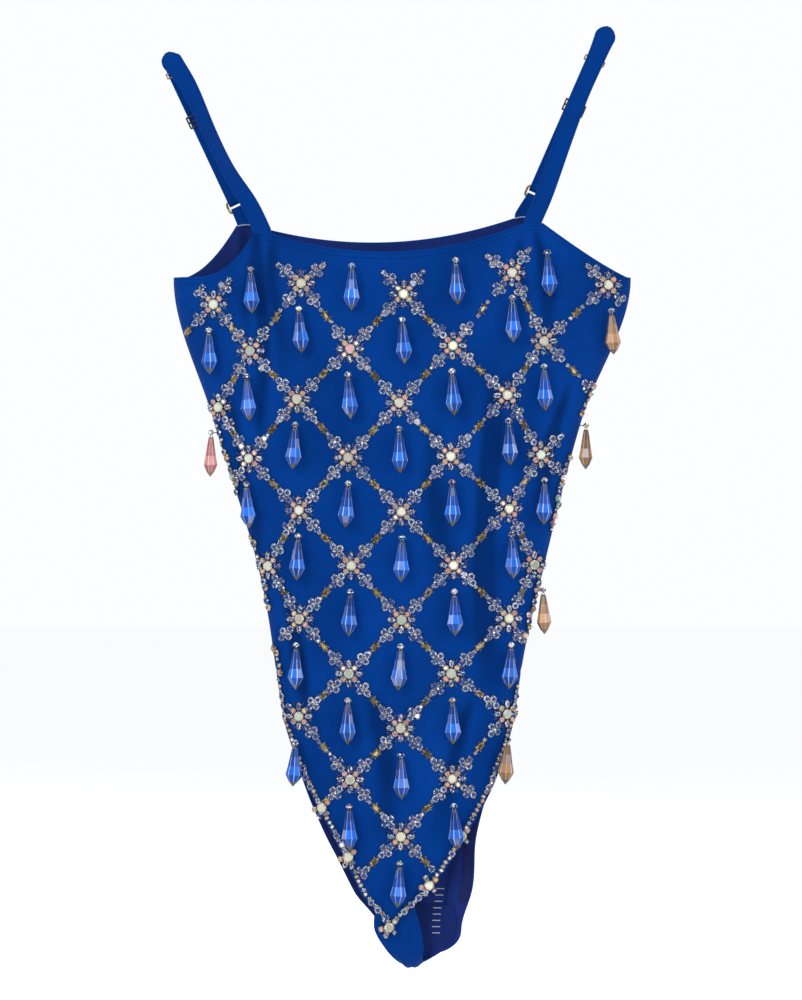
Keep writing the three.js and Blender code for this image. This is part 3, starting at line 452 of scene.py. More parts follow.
ROYAL_BLUE = (0.0004, 0.0245, 0.155)
NAVY = (0.0085, 0.0175, 0.105)
MATERIALS = {
    "shell": knit("royal_blue_knit", ROYAL_BLUE, 0.05, 0.55),
    "lining": knit("navy_lining_knit", NAVY, 0.05, 0.4),
    "thread": knit("blue_thread", shaded(ROYAL_BLUE, 0.6), 0.05, 0.3),
    "pale_thread": knit("pale_thread", (0.3, 0.3, 0.36), 0.05, 0.3),
    "elastic": knit("knitted_elastic", (0.012, 0.012, 0.06), 0.1, 0.8),
    "stones": gem("cut_stones", 0.15, 0.0, Specular_IOR_Level=0.3),
    "opal": gem("opal_stones", 0.3, 0.0, Specular_IOR_Level=0.4),
    "drops": gem("glass_drops", 0.14, 0.0, Specular_IOR_Level=0.1),
    "claws": plated("old_silver_claws", (0.36, 0.33, 0.28), (0.035, 0.03, 0.03), 0.35),
    "gold": plated("pale_gold_plating", (0.42, 0.30, 0.13), (0.06, 0.04, 0.02), 0.42),
    "dark_metal": plated("dark_nickel", (0.06, 0.055, 0.05), (0.015, 0.014, 0.013), 0.4),
}


# ---------- making pieces ----------
FACETED = 5  # degrees: facets that meet at more than this stay sharp


def make_piece(name, points, faces, material, body="root", slot=None, smooth_under=40, **attributes):
    """A mesh of the object that rides on a CAD body. Attributes are per point, or per face if so long."""
    mesh = bpy.data.meshes.new(name)
    points = np.asarray(points, float)
    if "cloth" in attributes:
        attributes.setdefault("hollow", np.zeros(len(points)))
    mesh.from_pydata((points * MM).tolist(), [], faces if isinstance(faces, list) else faces.tolist())
    for key, values in attributes.items():
        values = np.asarray(values, float)
        if key == "facet":
            attribute = mesh.color_attributes.new(key, "FLOAT_COLOR", "CORNER")
            corners = np.zeros(len(mesh.polygons), int)
            mesh.polygons.foreach_get("loop_total", corners)
            colours = np.repeat(values, corners, axis=0) if len(values) == len(corners) else values
            attribute.data.foreach_set("color", np.hstack([colours, np.ones((len(colours), 1))]).ravel())
        elif values.ndim == 2:
            mesh.attributes.new(key, "FLOAT_VECTOR", "POINT").data.foreach_set("vector", values.ravel())
        else:
            mesh.attributes.new(key, "FLOAT", "POINT").data.foreach_set("value", values.ravel())
    mesh.materials.append(MATERIALS[material])
    mesh.shade_smooth()
    mesh.set_sharp_from_angle(angle=math.radians(smooth_under))
    mesh.validate()
    piece = bpy.data.objects.new(name, mesh)
    bpy.context.scene.collection.objects.link(piece)
    if body:
        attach(piece, body)
    return piece


def grid_faces(columns, rows, offset=0, flip=False):
    """Quads of a grid of (rows + 1) x (columns + 1) points."""
    corner = np.arange(rows)[:, None] * (columns + 1) + np.arange(columns) + offset
    a, b, c, d = corner, corner + 1, corner + columns + 2, corner + columns + 1
    quads = np.stack([a, b, c, d], -1).reshape(-1, 4)
    return quads[:, ::-1] if flip else quads


def sheet_parts(outer, inner):
    """Points and quads of a closed sheet between two grids of points, outer facing away from inner."""
    rows, columns = outer.shape[0] - 1, outer.shape[1] - 1
    count = outer.shape[0] * outer.shape[1]
    index = np.arange(count).reshape(outer.shape[:2])
    rim = np.concatenate([index[0, :-1], index[:-1, -1], index[-1, :0:-1], index[:0:-1, 0]])
    following = np.roll(rim, -1)
    side = np.stack([rim, rim + count, following + count, following], -1)
    faces = np.vstack([grid_faces(columns, rows), grid_faces(columns, rows, count, flip=True), side])
    points = np.vstack([outer.reshape(-1, 3), inner.reshape(-1, 3)])
    centre = outer.shape[0] // 2, outer.shape[1] // 2
    along = outer[centre[0], centre[1] + 1] - outer[centre]
    down = outer[centre[0] + 1, centre[1]] - outer[centre]
    facing_out = np.cross(along, down) @ (outer[centre] - inner[centre]) > 0
    return points, (faces if facing_out else faces[:, ::-1])


# ---------- shell and lining ----------
TOP_ROWS, BODY_ROWS = 16, 132
COLUMN_SHARES = (30, 8, 66, 8, 30)  # columns left of, on, between, on and right of the strap corners


def column_angles(side):
    (left, _), (right, _) = STRAP_CORNERS[side][-1], STRAP_CORNERS[side][1]
    limit = SEAM_ANGLE[side]
    ends = [left - CORNER_REACH, left + CORNER_REACH, right - CORNER_REACH, right + CORNER_REACH]
    marks = [-limit, *[float(angle_at_x(x, UNDERARM_Z)) for x in ends], limit]
    parts = [np.linspace(marks[i], marks[i + 1], n, endpoint=False) for i, n in enumerate(COLUMN_SHARES)]
    return np.concatenate([*parts, [limit]])


def to_seam(side, angles):
    """The same angles, with a panel's side edges carried on to where front and back are sewn together."""
    return np.where(np.abs(angles) > SEAM_ANGLE[side] - 1e-6, np.copysign(math.pi / 2, angles), angles)


BACK_LOBE = 21.0  # how far the back's lower edge bows down, where it is drawn under the body


def panel_grid(side, lift, trim=0.0):
    """A panel's points: its top rows follow the neckline and armholes, the rest the body down to the V."""
    angles = column_angles(side)
    x = middle(UNDERARM_Z) + HALF_BUST * np.sin(angles)
    top = np.maximum(top_edge(side, x), UNDERARM_Z + 1) - trim
    rows = []
    for share in np.linspace(0, 1, TOP_ROWS, endpoint=False):
        z = top + (UNDERARM_Z - 1 - top) * share
        rows.append(on_cloth(side, to_seam(side, angles), z, lift))
    across = (angles / SEAM_ANGLE[side] + 1) / 2
    lobe = BACK_LOBE * np.sqrt(np.clip(np.sin(np.pi * across), 0, 1)) if side == BACK else 0
    for share in np.linspace(0, 1, BODY_ROWS + 1):
        z = UNDERARM_Z - 1 + (TIP_Z + trim - UNDERARM_Z + 1) * share - lobe * share**8
        left, right = edge_angles(side, z)
        rows.append(on_cloth(side, to_seam(side, left + (right - left) * across), z, lift))
    return np.array(rows)


def cloth_attributes(side, points):
    """Cloth coordinates for the shader, and the painted shade of the folds (darker in their valleys, lighter
    where negative on their ridges), from points near a panel.
    """
    x, z = points[:, 0], points[:, 2]
    reach = half_width(z)
    arc = np.sign(x - middle(z)) * np.abs(angle_at_x(x, z)) * reach * 0.85
    # painted shade, from how far the cloth is pressed inward
    hollow = np.clip(fold_depth(side, x, z) - 0.5, -0.6, 2.5) * 0.42
    return {"cloth": np.stack([arc, z, np.zeros_like(z)], -1), "hollow": hollow}


def add_panel(side, kind, lift, thickness, trim, material, slot):
    name = f"{SIDES[side]}_{kind}"
    outer, inner = panel_grid(side, lift, trim), panel_grid(side, lift - thickness, trim)
    points, faces = sheet_parts(outer, inner)
    piece = make_piece(f"{name}_cloth", points, faces, material, slot=slot, **cloth_attributes(side, points))
    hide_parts(name)
    return piece


LINING_LIFT = -LAYER_GAP
LINING_TRIM = 1.5


def add_body():
    for side in SIDES:
        add_panel(side, "panel", SHELL, SHELL, 0, "shell", "shell_fabric")
        add_panel(side, "lining", LINING_LIFT, LINING, LINING_TRIM, "lining", "lining")


# ---------- gusset ----------
def add_gusset():
    """The plain gusset folds from inside the front's V to inside the back."""
    under = LAYER_GAP + LINING + LAYER_GAP + GUSSET / 2
    lowest = TIP_Z - GUSSET_DROP + GUSSET / 2
    # fold from 0 on the front to 180 on the back, middle x, height, width
    stations = [
        (0, -5, TIP_Z + GUSSET_OVERLAP, 34),
        (0, -3, TIP_Z + 4, 40),
        (25, 3, TIP_Z - 14, 33),
        (90, 9, lowest, 22),
        (155, 18, TIP_Z - 14, 46),
        (180, 19, TIP_Z + 4, 58),
        (180, 15, TIP_Z + GUSSET_OVERLAP, 60),
    ]
    places = np.linspace(0, 1, len(stations))
    fold, x, z, width = (profile(*zip(places, values)) for values in zip(*stations))
    rows, columns = np.linspace(0, 1, 73)[:, None], np.linspace(-0.5, 0.5, 31)[None, :]
    curled = 6 * (2 * columns) ** 2 * np.sin(np.radians(np.clip(fold(rows), 0, 180))) ** 2
    at_x, at_z = np.broadcast_arrays(x(rows) + width(rows) * columns, z(rows) + curled)
    angle = angle_at_x(at_x, at_z)
    front, back = on_tube(FRONT, angle, at_z, -under), on_tube(BACK, angle, at_z, -under)
    turn = np.radians(np.clip(fold(rows), 0, 180)) + 0 * angle
    ripple = 0.5 * np.sin(columns * 19 + 2 * np.sin(rows * 9)) * np.sin(np.pi * rows)
    base = front + (back - front) * ((1 - np.cos(turn)) / 2)[..., None]
    outward = np.stack([0 * turn, -np.cos(turn), -np.sin(turn)], -1)
    faces = [base + outward * (ripple + offset)[..., None] for offset in (GUSSET / 2, -GUSSET / 2)]
    points, quads = sheet_parts(*faces)
    cloth = np.stack([points[:, 0], points[:, 2], 0 * points[:, 0]], -1)
    # painted shade: the gusset is darker where it turns under the body towards the back
    hollow = np.tile((0.12 * (1 - np.cos(turn)) / 2 + 0.03).ravel(), 2)
    name = "crotch_gusset_cloth"
    piece = make_piece(name, points, quads, "shell", slot="shell_fabric", cloth=cloth, hollow=hollow)
    piece.data.materials.append(MATERIALS["lining"])
    grid_size = (len(rows) - 1) * (columns.size - 1)
    for polygon in piece.data.polygons[grid_size : 2 * grid_size]:
        polygon.material_index = 1
    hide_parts("crotch_gusset")


# ---------- cut stones ----------
def ring_points(sides, radius_x, radius_y, z, turn=0.0, points_power=1.0):
    """A ring of points; a power above 1 draws its two ends on X out to points."""
    angles = 2 * np.pi * (np.arange(sides) + turn) / sides
    squeeze = np.abs(np.sin(angles)) ** (points_power - 1) if points_power > 1 else 1
    return np.stack([radius_x * np.cos(angles), radius_y * np.sin(angles) * squeeze, np.full(sides, z)], -1)


class Shape:
    """Points and faces of one small piece, with a shade number for each face."""

    def __init__(self):
        self.points, self.faces, self.shades = [], [], []
        self.count = 0

    def add_points(self, points):
        first = self.count
        self.points.append(np.asarray(points, float).reshape(-1, 3))
        self.count += len(self.points[-1])
        return first

    def face(self, corners, shade=0):
        self.faces.append(tuple(int(c) for c in corners))
        self.shades.append(shade)

    def band(self, low, high, sides, shade, shades=1):
        for i in range(sides):
            j = (i + 1) % sides
            self.face((low + i, low + j, high + j, high + i), shade + i % shades)

    def zigzag(self, low, high, sides, shade, shades=1):
        """Triangles between a ring and one turned by half a step."""
        for i in range(sides):
            j = (i + 1) % sides
            self.face((low + i, low + j, high + i), shade + (2 * i) % shades)
            self.face((low + j, high + j, high + i), shade + (2 * i + 1) % shades)


def stone_shape(sides, radius_x, radius_y, foot, crown, table, power=1.0):
    """A stone from its girdle up: shades 0 to 7 on its crown, 8 on its table, 9 under the girdle."""
    shape = Shape()
    base = shape.add_points(ring_points(sides, radius_x * 0.7, radius_y * 0.7, foot * 0.35, 0, power))
    girdle = shape.add_points(ring_points(sides, radius_x, radius_y, foot, 0, power))
    top = shape.add_points(ring_points(sides, radius_x * table, radius_y * table, foot + crown, 0.5, power))
    shape.face([base + i for i in reversed(range(sides))], 9)
    shape.band(base, girdle, sides, 9)
    shape.zigzag(girdle, top, sides, 0, 8)
    shape.face([top + i for i in range(sides)], 8)
    return shape


def setting_shape(sides, radius_x, radius_y, foot, claws, power=1.0):
    """The metal cup under a stone, with claws bent over its girdle."""
    shape = Shape()
    rim_x, rim_y = radius_x + 0.16, radius_y + 0.16
    low = shape.add_points(ring_points(sides, rim_x * 0.85, rim_y * 0.85, 0, 0, power))
    high = shape.add_points(ring_points(sides, rim_x, rim_y, foot * 0.95, 0, power))
    inner = shape.add_points(ring_points(sides, rim_x - 0.5, rim_y - 0.5, foot * 0.8, 0, power))
    shape.face([low + i for i in reversed(range(sides))])
    shape.band(low, high, sides, 0)
    shape.band(high, inner, sides, 0)
    shape.face([inner + i for i in range(sides)])
    for i in range(claws):
        angle = 2 * np.pi * (i + 0.5) / claws
        outward = np.array([np.cos(angle), np.sin(angle), 0])
        aside = np.array([-np.sin(angle), np.cos(angle), 0]) * 0.42
        reach = np.hypot(radius_x * np.cos(angle), radius_y * np.sin(angle))
        root, knee, tip = outward * (reach + 0.3), outward * (reach + 0.45), outward * (reach - 0.75)
        ring = shape.add_points([
            root + [0, 0, foot * 0.3] + aside, root + [0, 0, foot * 0.3] - aside,
            knee + [0, 0, foot + 0.35] + aside, knee + [0, 0, foot + 0.35] - aside,
            tip + [0, 0, foot + 0.85], outward * (reach - 0.2) + [0, 0, foot * 0.4],
        ])
        for corners in ((0, 1, 3, 2), (2, 3, 4), (0, 2, 5), (1, 5, 3), (2, 4, 5), (3, 5, 4), (0, 5, 1)):
            shape.face([ring + c for c in corners])
    return shape


def placed(shape, origins, x_axes, y_axes, z_axes, palette=None):
    """Copies of a shape at many places. palette[copy, shade] gives each face's colour."""
    points = np.vstack(shape.points)
    basis = np.stack([x_axes, y_axes, z_axes], axis=1)
    everywhere = (points @ basis + origins[:, None, :]).reshape(-1, 3)
    faces = []
    for i in range(len(origins)):
        start = i * len(points)
        faces += [tuple(start + c for c in face) for face in shape.faces]
    colours = None if palette is None else palette[:, np.array(shape.shades)].reshape(-1, 3)
    return everywhere, faces, colours


def gather(parts):
    """Several (points, faces, colours) as one."""
    points, faces, colours, start = [], [], [], 0
    for some_points, some_faces, some_colours in parts:
        points.append(some_points)
        faces += [tuple(start + c for c in face) for face in some_faces]
        if some_colours is not None:
            colours.append(some_colours)
        start += len(some_points)
    return np.vstack(points), faces, (np.vstack(colours) if colours else None)


# Facet colours: the clear stones' light and dark facets are painted reflections, OLIVE's gold facet is a
# painted highlight
CLEAR = np.array([[0.50, 0.50, 0.47], [0.26, 0.30, 0.36], [0.60, 0.58, 0.52], [0.13, 0.18, 0.30]])
AURORA = np.array([[0.55, 0.26, 0.32], [0.16, 0.50, 0.50], [0.60, 0.42, 0.16], [0.34, 0.24, 0.55]])
BLUSH = np.array([[0.50, 0.24, 0.15], [0.46, 0.20, 0.21], [0.58, 0.46, 0.28], [0.42, 0.30, 0.26]])
OLIVE = np.array([[0.075, 0.055, 0.02], [0.16, 0.115, 0.045], [0.03, 0.025, 0.012], [0.38, 0.30, 0.14]])
CHAMPAGNE = np.array([[0.34, 0.25, 0.12], [0.55, 0.48, 0.34], [0.10, 0.07, 0.03], [0.36, 0.24, 0.20]])
OPAL = np.array([[0.52, 0.52, 0.40], [0.56, 0.55, 0.46], [0.50, 0.46, 0.38], [0.44, 0.50, 0.43]])
# painted see-through: the cloth's blue painted on the stones' facets, as if seen through clear glass
PAINTED_SEE_THROUGH = np.array([0.003, 0.030, 0.165])  # the cloth seen through a clear stone
# painted glint: a white facet
SPARKLE = np.array([0.66, 0.68, 0.68])


def stone_palette(count, family, aurora, see_through, glint):
    """Ten shades for each of many stones: eight crown facets, the table and the underside, with painted
    see-through, painted glints and painted shade under the girdle.
    """
    colours = family[random.integers(0, len(family), (count, 10))]
    tinted = random.random((count, 10)) < aurora
    colours = np.where(tinted[..., None], AURORA[random.integers(0, 4, (count, 10))], colours)
    colours = colours * random.uniform(0.45, 1.15, (count, 10, 1))
    # painted see-through and painted glints on some facets
    through = random.random((count, 10, 1)) < 0.45 * see_through
    colours = np.where(through, PAINTED_SEE_THROUGH * random.uniform(0.25, 1.3, (count, 10, 1)), colours)
    sparkling = random.random((count, 10, 1)) < 0.14 * see_through
    colours = np.where(sparkling, SPARKLE, colours)
    # the table: painted see-through on clear stones, a painted glint on a few
    table = colours[:, 8] * (1 - see_through) + PAINTED_SEE_THROUGH * see_through
    bright = random.random(count) < glint
    colours[:, 8] = np.where(bright[:, None], SPARKLE, table)
    # painted shade under the girdle
    colours[:, 9] *= 0.25
    return np.clip(colours, 0, 1)


# kind: sides, half length, half width, crown height, table share, power, claws, palette settings
STONE_KINDS = {
    "opal": (12, 4.25, 4.25, 1.2, 0.7, 1.0, 8, (OPAL, 0.03, 0.0, 0.0)),
    "blush": (8, 2.4, 2.4, 1.1, 0.55, 1.0, 4, (BLUSH, 0.15, 0.0, 0.1)),
    "petal": (8, 3.4, 2.1, 1.2, 0.45, 1.3, 4, (CLEAR, 0.2, 0.85, 0.0)),
    "ring": (12, 2.85, 2.85, 1.1, 0.62, 1.0, 4, (CLEAR, 0.22, 0.97, 0.01)),
    "seed": (8, 1.6, 1.6, 0.8, 0.5, 1.0, 4, (CLEAR, 0.35, 0.5, 0.12)),
    "navette": (10, 5.1, 2.6, 1.3, 0.5, 1.5, 4, (OLIVE, 0.03, 0.0, 0.03)),
    "end": (10, 3.6, 2.1, 1.1, 0.5, 1.3, 4, (CLEAR, 0.2, 0.9, 0.0)),
    "chain": (8, 1.8, 1.8, 0.9, 0.55, 1.0, 4, (CHAMPAGNE, 0.15, 0.1, 0.15)),
    "edge": (8, 3.1, 3.1, 1.9, 0.5, 1.0, 4, (CHAMPAGNE, 0.2, 0.15, 0.1)),
}
STONE_FOOT = 1.1
OPAL_FOOT = 1.9
SETTING_CLEARANCE = 0.08


def add_stones(side, sites):
    """All stones of one side of the garment: sites maps a kind to its (arc, z, direction, lift)."""
    metal = []
    for kind, places in sites.items():
        if kind == "spike" or not places:
            continue
        sides, half_long, half_wide, crown, table, power, claws, palette = STONE_KINDS[kind]
        foot = OPAL_FOOT if kind == "opal" else STONE_FOOT
        arc, z, direction, lift = np.array(places, float).T
        jitter = random.normal(0, 0.12, len(arc))
        origin, along, up, normal = cloth_axes(side, arc, z)
        origin = origin + normal * (SHELL + SETTING_CLEARANCE + lift)[:, None]
        turn = (direction + jitter)[:, None]
        x_axis = unit(along * np.cos(turn) + up * np.sin(turn))
        tilt = random.normal(0, 0.07, (len(arc), 2))
        z_axis = unit(normal + along * tilt[:, :1] + up * tilt[:, 1:])
        y_axis = unit(np.cross(z_axis, x_axis))
        x_axis = np.cross(y_axis, z_axis)
        stone = stone_shape(sides, half_long, half_wide, foot, crown, table, power)
        points, faces, colours = placed(
            stone, origin, x_axis, y_axis, z_axis, stone_palette(len(arc), *palette)
        )
        name, look = f"{SIDES[side]}_{kind}_stones", "opal" if kind == "opal" else "stones"
        make_piece(name, points, faces, look, slot="crystals", smooth_under=FACETED, facet=colours)
        cup = setting_shape(sides, half_long, half_wide, foot, claws, power)
        metal.append(placed(cup, origin, x_axis, y_axis, z_axis))
    metal += [spike_wire(side, *place) for place in sites["spike"]]
    points, faces, _ = gather(metal)
    name = f"{SIDES[side]}_stone_settings"
    piece = make_piece(name, points, faces, "claws", slot="hardware", smooth_under=30)
    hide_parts(f"{SIDES[side]}_crystal_net")


def spike_wire(side, arc, z, direction, lift):
    """One of the fine prongs that fan out from a floret."""
    reach = np.linspace(-0.5, 0.5, 3) * SPIKE_LENGTH
    raised = SHELL + STONE_FOOT + lift + np.array([0.2, 0.5, 0.1])
    path = cloth_place(side, arc + reach * math.cos(direction), z + reach * math.sin(direction), raised)
    return wire_parts(path, 0.24, 4)


# ---------- where the stones are ----------
def row_z(row):
    return FIRST_ROW_Z - (row - 1) * ROW_PITCH


def strap_pull(arc, z):
    fade = min(1, math.exp((z - FIRST_ROW_Z) / (2 * ROW_PITCH)))
    near_strap = math.exp(-(((abs(arc) / COLUMN_PITCH - 2.05) / 0.73) ** 2))
    return fade * (STRAP_LIFT * near_strap + 0.05 * arc)


def leg_pull(arc, z):
    fade = min(1, max(0, (float(station(z)) - HIPS) / 0.09))
    return fade * LEG_LIFT * (arc / (2 * COLUMN_PITCH)) ** 2


def free_place(column, row):
    """A place of the even net, whether or not it lies on a panel."""
    arc, z = COLUMN_PLACES[column + 5] * COLUMN_PITCH, row_z(row)
    return arc, z + strap_pull(arc, z) + leg_pull(arc, z)


def net_place(side, column, row):
    """The place of a floret on the net. One just past a side seam is gathered onto the panel."""
    arc, z = free_place(column, row)
    past = abs(arc) - float(edge_arc(side, arc, z)) + FLORET_INSET
    if station(z) < HIPS and 0 < past < EDGE_GATHER:
        arc -= math.copysign(past, arc)
    return np.array([arc, z])


def fits_on_panel(side, place, margin):
    arc, z = place
    if z < TIP_Z + margin or abs(arc) > edge_arc(side, arc, z) - margin:
        return False
    return z < top_edge(side, on_tube(side, angle_at_arc(side, arc, z), z)[0]) - margin


def net_columns(row):
    return [column for column in range(-4, 5) if (column + row) % 2]


DIAGONALS = ((1, -1), (1, 1), (-1, 1), (-1, -1))
BLUSH_REACH, PETAL_REACH, SPIKE_REACH, SPIKE_LENGTH, SPIKE_SPREAD = 6.7, 8.4, 11.0, 3.4, 0.36
# distances along a strand from a floret's middle
SINGLE_AT, PAIR_AT, SEED_AT, PAIR_OFFSET = 12.2, 17.3, 22.2, 3.3
END_AT = 23.6


def strand_items(length):
    """Stones from one floret to the next: (distance, offset across, kind)."""
    items = [(length / 2, 0, "navette"), (length / 2 - 6.9, -0.5, "seed"), (length / 2 + 6.9, 0.5, "seed")]
    for near, far in ((0, 1), (length, -1)):
        items.append((near + far * SINGLE_AT, 0, "ring"))
        items.append((near + far * PAIR_AT, PAIR_OFFSET, "ring"))
        items.append((near + far * PAIR_AT, -PAIR_OFFSET, "ring"))
        items.append((near + far * SEED_AT, 0, "ring"))
        items.append((near + far * (SEED_AT - 4.9), 0.4, "seed"))
    return items


def add_floret(sites, place):
    arc, z = place
    sites["opal"].append((arc, z, 0, 0))

    def around(kind, reach, angle, lift):
        sites[kind].append((arc + reach * math.cos(angle), z + reach * math.sin(angle), angle, lift))

    for i in range(4):
        diagonal, square = math.pi / 4 + i * math.pi / 2, i * math.pi / 2
        around("blush", BLUSH_REACH, diagonal, 0.3)
        around("petal", PETAL_REACH, square, 0.2)
        for turn in (-SPIKE_SPREAD, 0, SPIKE_SPREAD):
            around("spike", SPIKE_REACH, square + turn, 0)


def add_strand(sites, side, column, row, column_step, row_step):
    start, end = net_place(side, column, row), net_place(side, column + column_step, row + row_step)
    whole = row + row_step >= 1 and fits_on_panel(side, end, EDGE_MARGIN)
    if whole and row_step < 0:
        return
    length = np.linalg.norm(end - start)
    along = (end - start) / length
    across = np.array([-along[1], along[0]])
    reach = length
    if not whole:
        reach, margin = 9.0, TOP_MARGIN if row_step < 0 else EDGE_MARGIN
        while reach < length - 9 and fits_on_panel(side, start + along * (reach + 2), margin):
            reach += 2
    items = strand_items(length)
    if not whole and row_step < 0:
        items = [item for item in items if item[0] < SEED_AT] + [(END_AT, 0, "end")]
    for distance, offset, kind in items:
        if distance <= reach - (0 if whole else 1):
            arc, z = start + along * distance + across * offset
            sites[kind].append((arc, z, math.atan2(along[1], along[0]), 0))


CHAIN_PITCH = 4.3
CHAIN_TOP = UNDERARM_Z - BODY_LENGTH * (HIPS + 0.03)


def add_leg_chain(sites, side, hand):
    """A row of stones in cups along one leg edge."""
    z = np.linspace(CHAIN_TOP, TIP_Z + 7, 900)
    arc = hand * np.maximum(2.4, edge_arc(side, np.full(900, hand), z) - CHAIN_INSET)
    points = cloth_place(side, arc, z)
    travelled = distances(points)
    for i, distance in enumerate(np.arange(0, travelled[-1], CHAIN_PITCH)):
        at_arc, at_z = np.interp(distance, travelled, arc), np.interp(distance, travelled, z)
        kind = ("chain", "chain", "seed", "chain", "ring")[(i * 7 + i // 3) % 5]
        aside = hand * random.uniform(-0.9, 0.5)
        sites[kind].append((at_arc + aside, at_z, random.uniform(0, 3), random.uniform(0, 0.4)))


def add_leg_cluster(sites, side, hand, z):
    """An opal and a few stones crowded round it, where a floret was cut by a leg edge."""
    arc = hand * max(1.5, float(edge_arc(side, hand, z)) - CHAIN_INSET - 0.5)
    sites["opal"].append((arc, z, 0, 0.4))
    for angle, kind in ((0.8, "blush"), (2.1, "petal"), (3.4, "blush"), (4.4, "petal"), (5.5, "seed")):
        sites[kind].append((arc + 6.6 * math.cos(angle), z + 6.6 * math.sin(angle), angle, 0.6))


SEAM_PITCH = 5.6


def add_seam_stones(sites, side, hand):
    """Stones that crowd along a side seam, where the net wraps round the body."""
    for i, z in enumerate(np.arange(UNDERARM_Z - 92, CHAIN_TOP, -SEAM_PITCH)):
        if math.sin(z / 15.5 + hand) < -0.55:
            continue
        arc = hand * (float(edge_arc(side, hand, z)) - random.uniform(3.2, 6.0))
        kind = ("edge", "seed", "ring", "edge", "chain")[(i * 3 + i // 4) % 5]
        z = z + random.uniform(-1.2, 1.2)
        sites[kind].append((arc, z, random.uniform(0, 3), random.uniform(0.1, 0.9)))


def net_sites(side):
    sites = {kind: [] for kind in (*STONE_KINDS, "spike")}
    for row in range(1, ROW_COUNT + 1):
        for column in net_columns(row):
            place = net_place(side, column, row)
            if fits_on_panel(side, place, EDGE_MARGIN):
                add_floret(sites, place)
                for column_step, row_step in DIAGONALS:
                    add_strand(sites, side, column, row, column_step, row_step)
    for hand in HANDS:
        add_leg_chain(sites, side, hand)
        add_seam_stones(sites, side, hand)
    if side == FRONT:
        for hand, height in ((1, 42), (1, 84), (-1, 66), (-1, 6), (-1, 108)):
            add_leg_cluster(sites, side, hand, TIP_Z + height)
    return sites


# ---------- glass drops ----------
DROP_SIDES = 8
BEAD_RADIUS = 2.7
# heights below the pivot, half width, half depth
DROP_RINGS = (
    (-3.7, 1.6, 1.4), (-5.2, 2.6, 2.2), (-12, 3.9, 3.2), (-20, 5.3, 4.2), (-27.6, 7.1, 5.4), (-33.5, 3.9, 3.2)
)
DROP_TIP = -38.0
DROP_TILT = math.radians(4)  # how far from straight a drop may hang on its thread
BEVEL = math.radians(3.5)  # half the width of the narrow facets between a drop's broad ones

# shades from the neck down to the belly, the lower cone and the tip; the dark neck and bright belly are
# painted light passing through the glass
BLUE_DROP = (
    (0.05, 0.06, 0.09), (0.003, 0.028, 0.16), (0.003, 0.045, 0.27),
    (0.012, 0.11, 0.50), (0.005, 0.045, 0.25), (0.06, 0.06, 0.055),
)
AMBER_DROP = (
    (0.10, 0.06, 0.03), (0.13, 0.07, 0.03), (0.20, 0.11, 0.05),
    (0.34, 0.19, 0.09), (0.20, 0.11, 0.05), (0.10, 0.06, 0.04),
)
PINK_DROP = (
    (0.18, 0.08, 0.06), (0.26, 0.09, 0.08), (0.36, 0.13, 0.12),
    (0.50, 0.22, 0.20), (0.30, 0.12, 0.10), (0.16, 0.09, 0.07),
)
# painted highlight on the drops' narrow edge facets
EDGE_HIGHLIGHT = np.array([0.50, 0.55, 0.68])


def bevelled_ring(wide, deep, z):
    """A ring with a pair of close corners at each edge, so that every edge is a narrow facet."""
    corners = 2 * np.pi * (np.arange(DROP_SIDES) + 0.5) / DROP_SIDES
    angles = np.stack([corners - BEVEL, corners + BEVEL], -1).ravel()
    return np.stack([wide * np.cos(angles), deep * np.sin(angles), np.full(len(angles), z)], -1)


def drop_parts(origin, outward, colours):
    """One drop hanging from a point, in the frame of the cloth it lies against: points, faces, colours."""
    outward = unit([outward[0], outward[1], 0])
    across = np.array([-outward[1], outward[0], 0.0])
    shape = Shape()
    firsts = [shape.add_points(bevelled_ring(wide, deep, z)) for z, wide, deep in DROP_RINGS]
    tip = shape.add_points([[0, 0, DROP_TIP]])
    corners = 2 * DROP_SIDES
    shape.face([firsts[0] + i for i in range(corners)])
    # the top face takes a little painted highlight
    tones = [(0, 1.0, 0.2)]
    streaks = random.uniform(0.7, 1.25, corners)
    for level in range(len(firsts)):
        for i in range(corners):
            j = (i + 1) % corners
            if level + 1 < len(firsts):
                low = firsts[level + 1]
                shape.face((low + i, low + j, firsts[level] + j, firsts[level] + i))
            else:
                shape.face((tip, firsts[-1] + j, firsts[-1] + i))
            on_edge = i % 2 == 0
            # painted highlight: strong on the narrow edge facets, rare and faint on the broad ones
            highlight_share = random.uniform(0.2, 0.9) if on_edge else random.random() ** 12 * 0.4
            tones.append((level, streaks[i] * random.uniform(0.85, 1.15), highlight_share))
    palette = np.array(colours)
    faces = []
    for level, share, highlight_share in tones:
        # the painted highlight is dimmer on the darker levels
        edge = EDGE_HIGHLIGHT * (0.35 + 0.65 * palette[level].max() / palette[3].max())
        faces.append(palette[level] * share * (1 - highlight_share) + edge * highlight_share)
    tilt = random.uniform(-1, 1) * DROP_TILT
    points = np.vstack(shape.points)
    x_tilted = points[:, :1] * math.cos(tilt) - points[:, 2:] * math.sin(tilt)
    z_tilted = points[:, :1] * math.sin(tilt) + points[:, 2:] * math.cos(tilt)
    placed_points = x_tilted * across + points[:, 1:2] * outward + z_tilted * [0, 0, 1] + origin
    return placed_points, shape.faces, np.clip(faces, 0, 1)


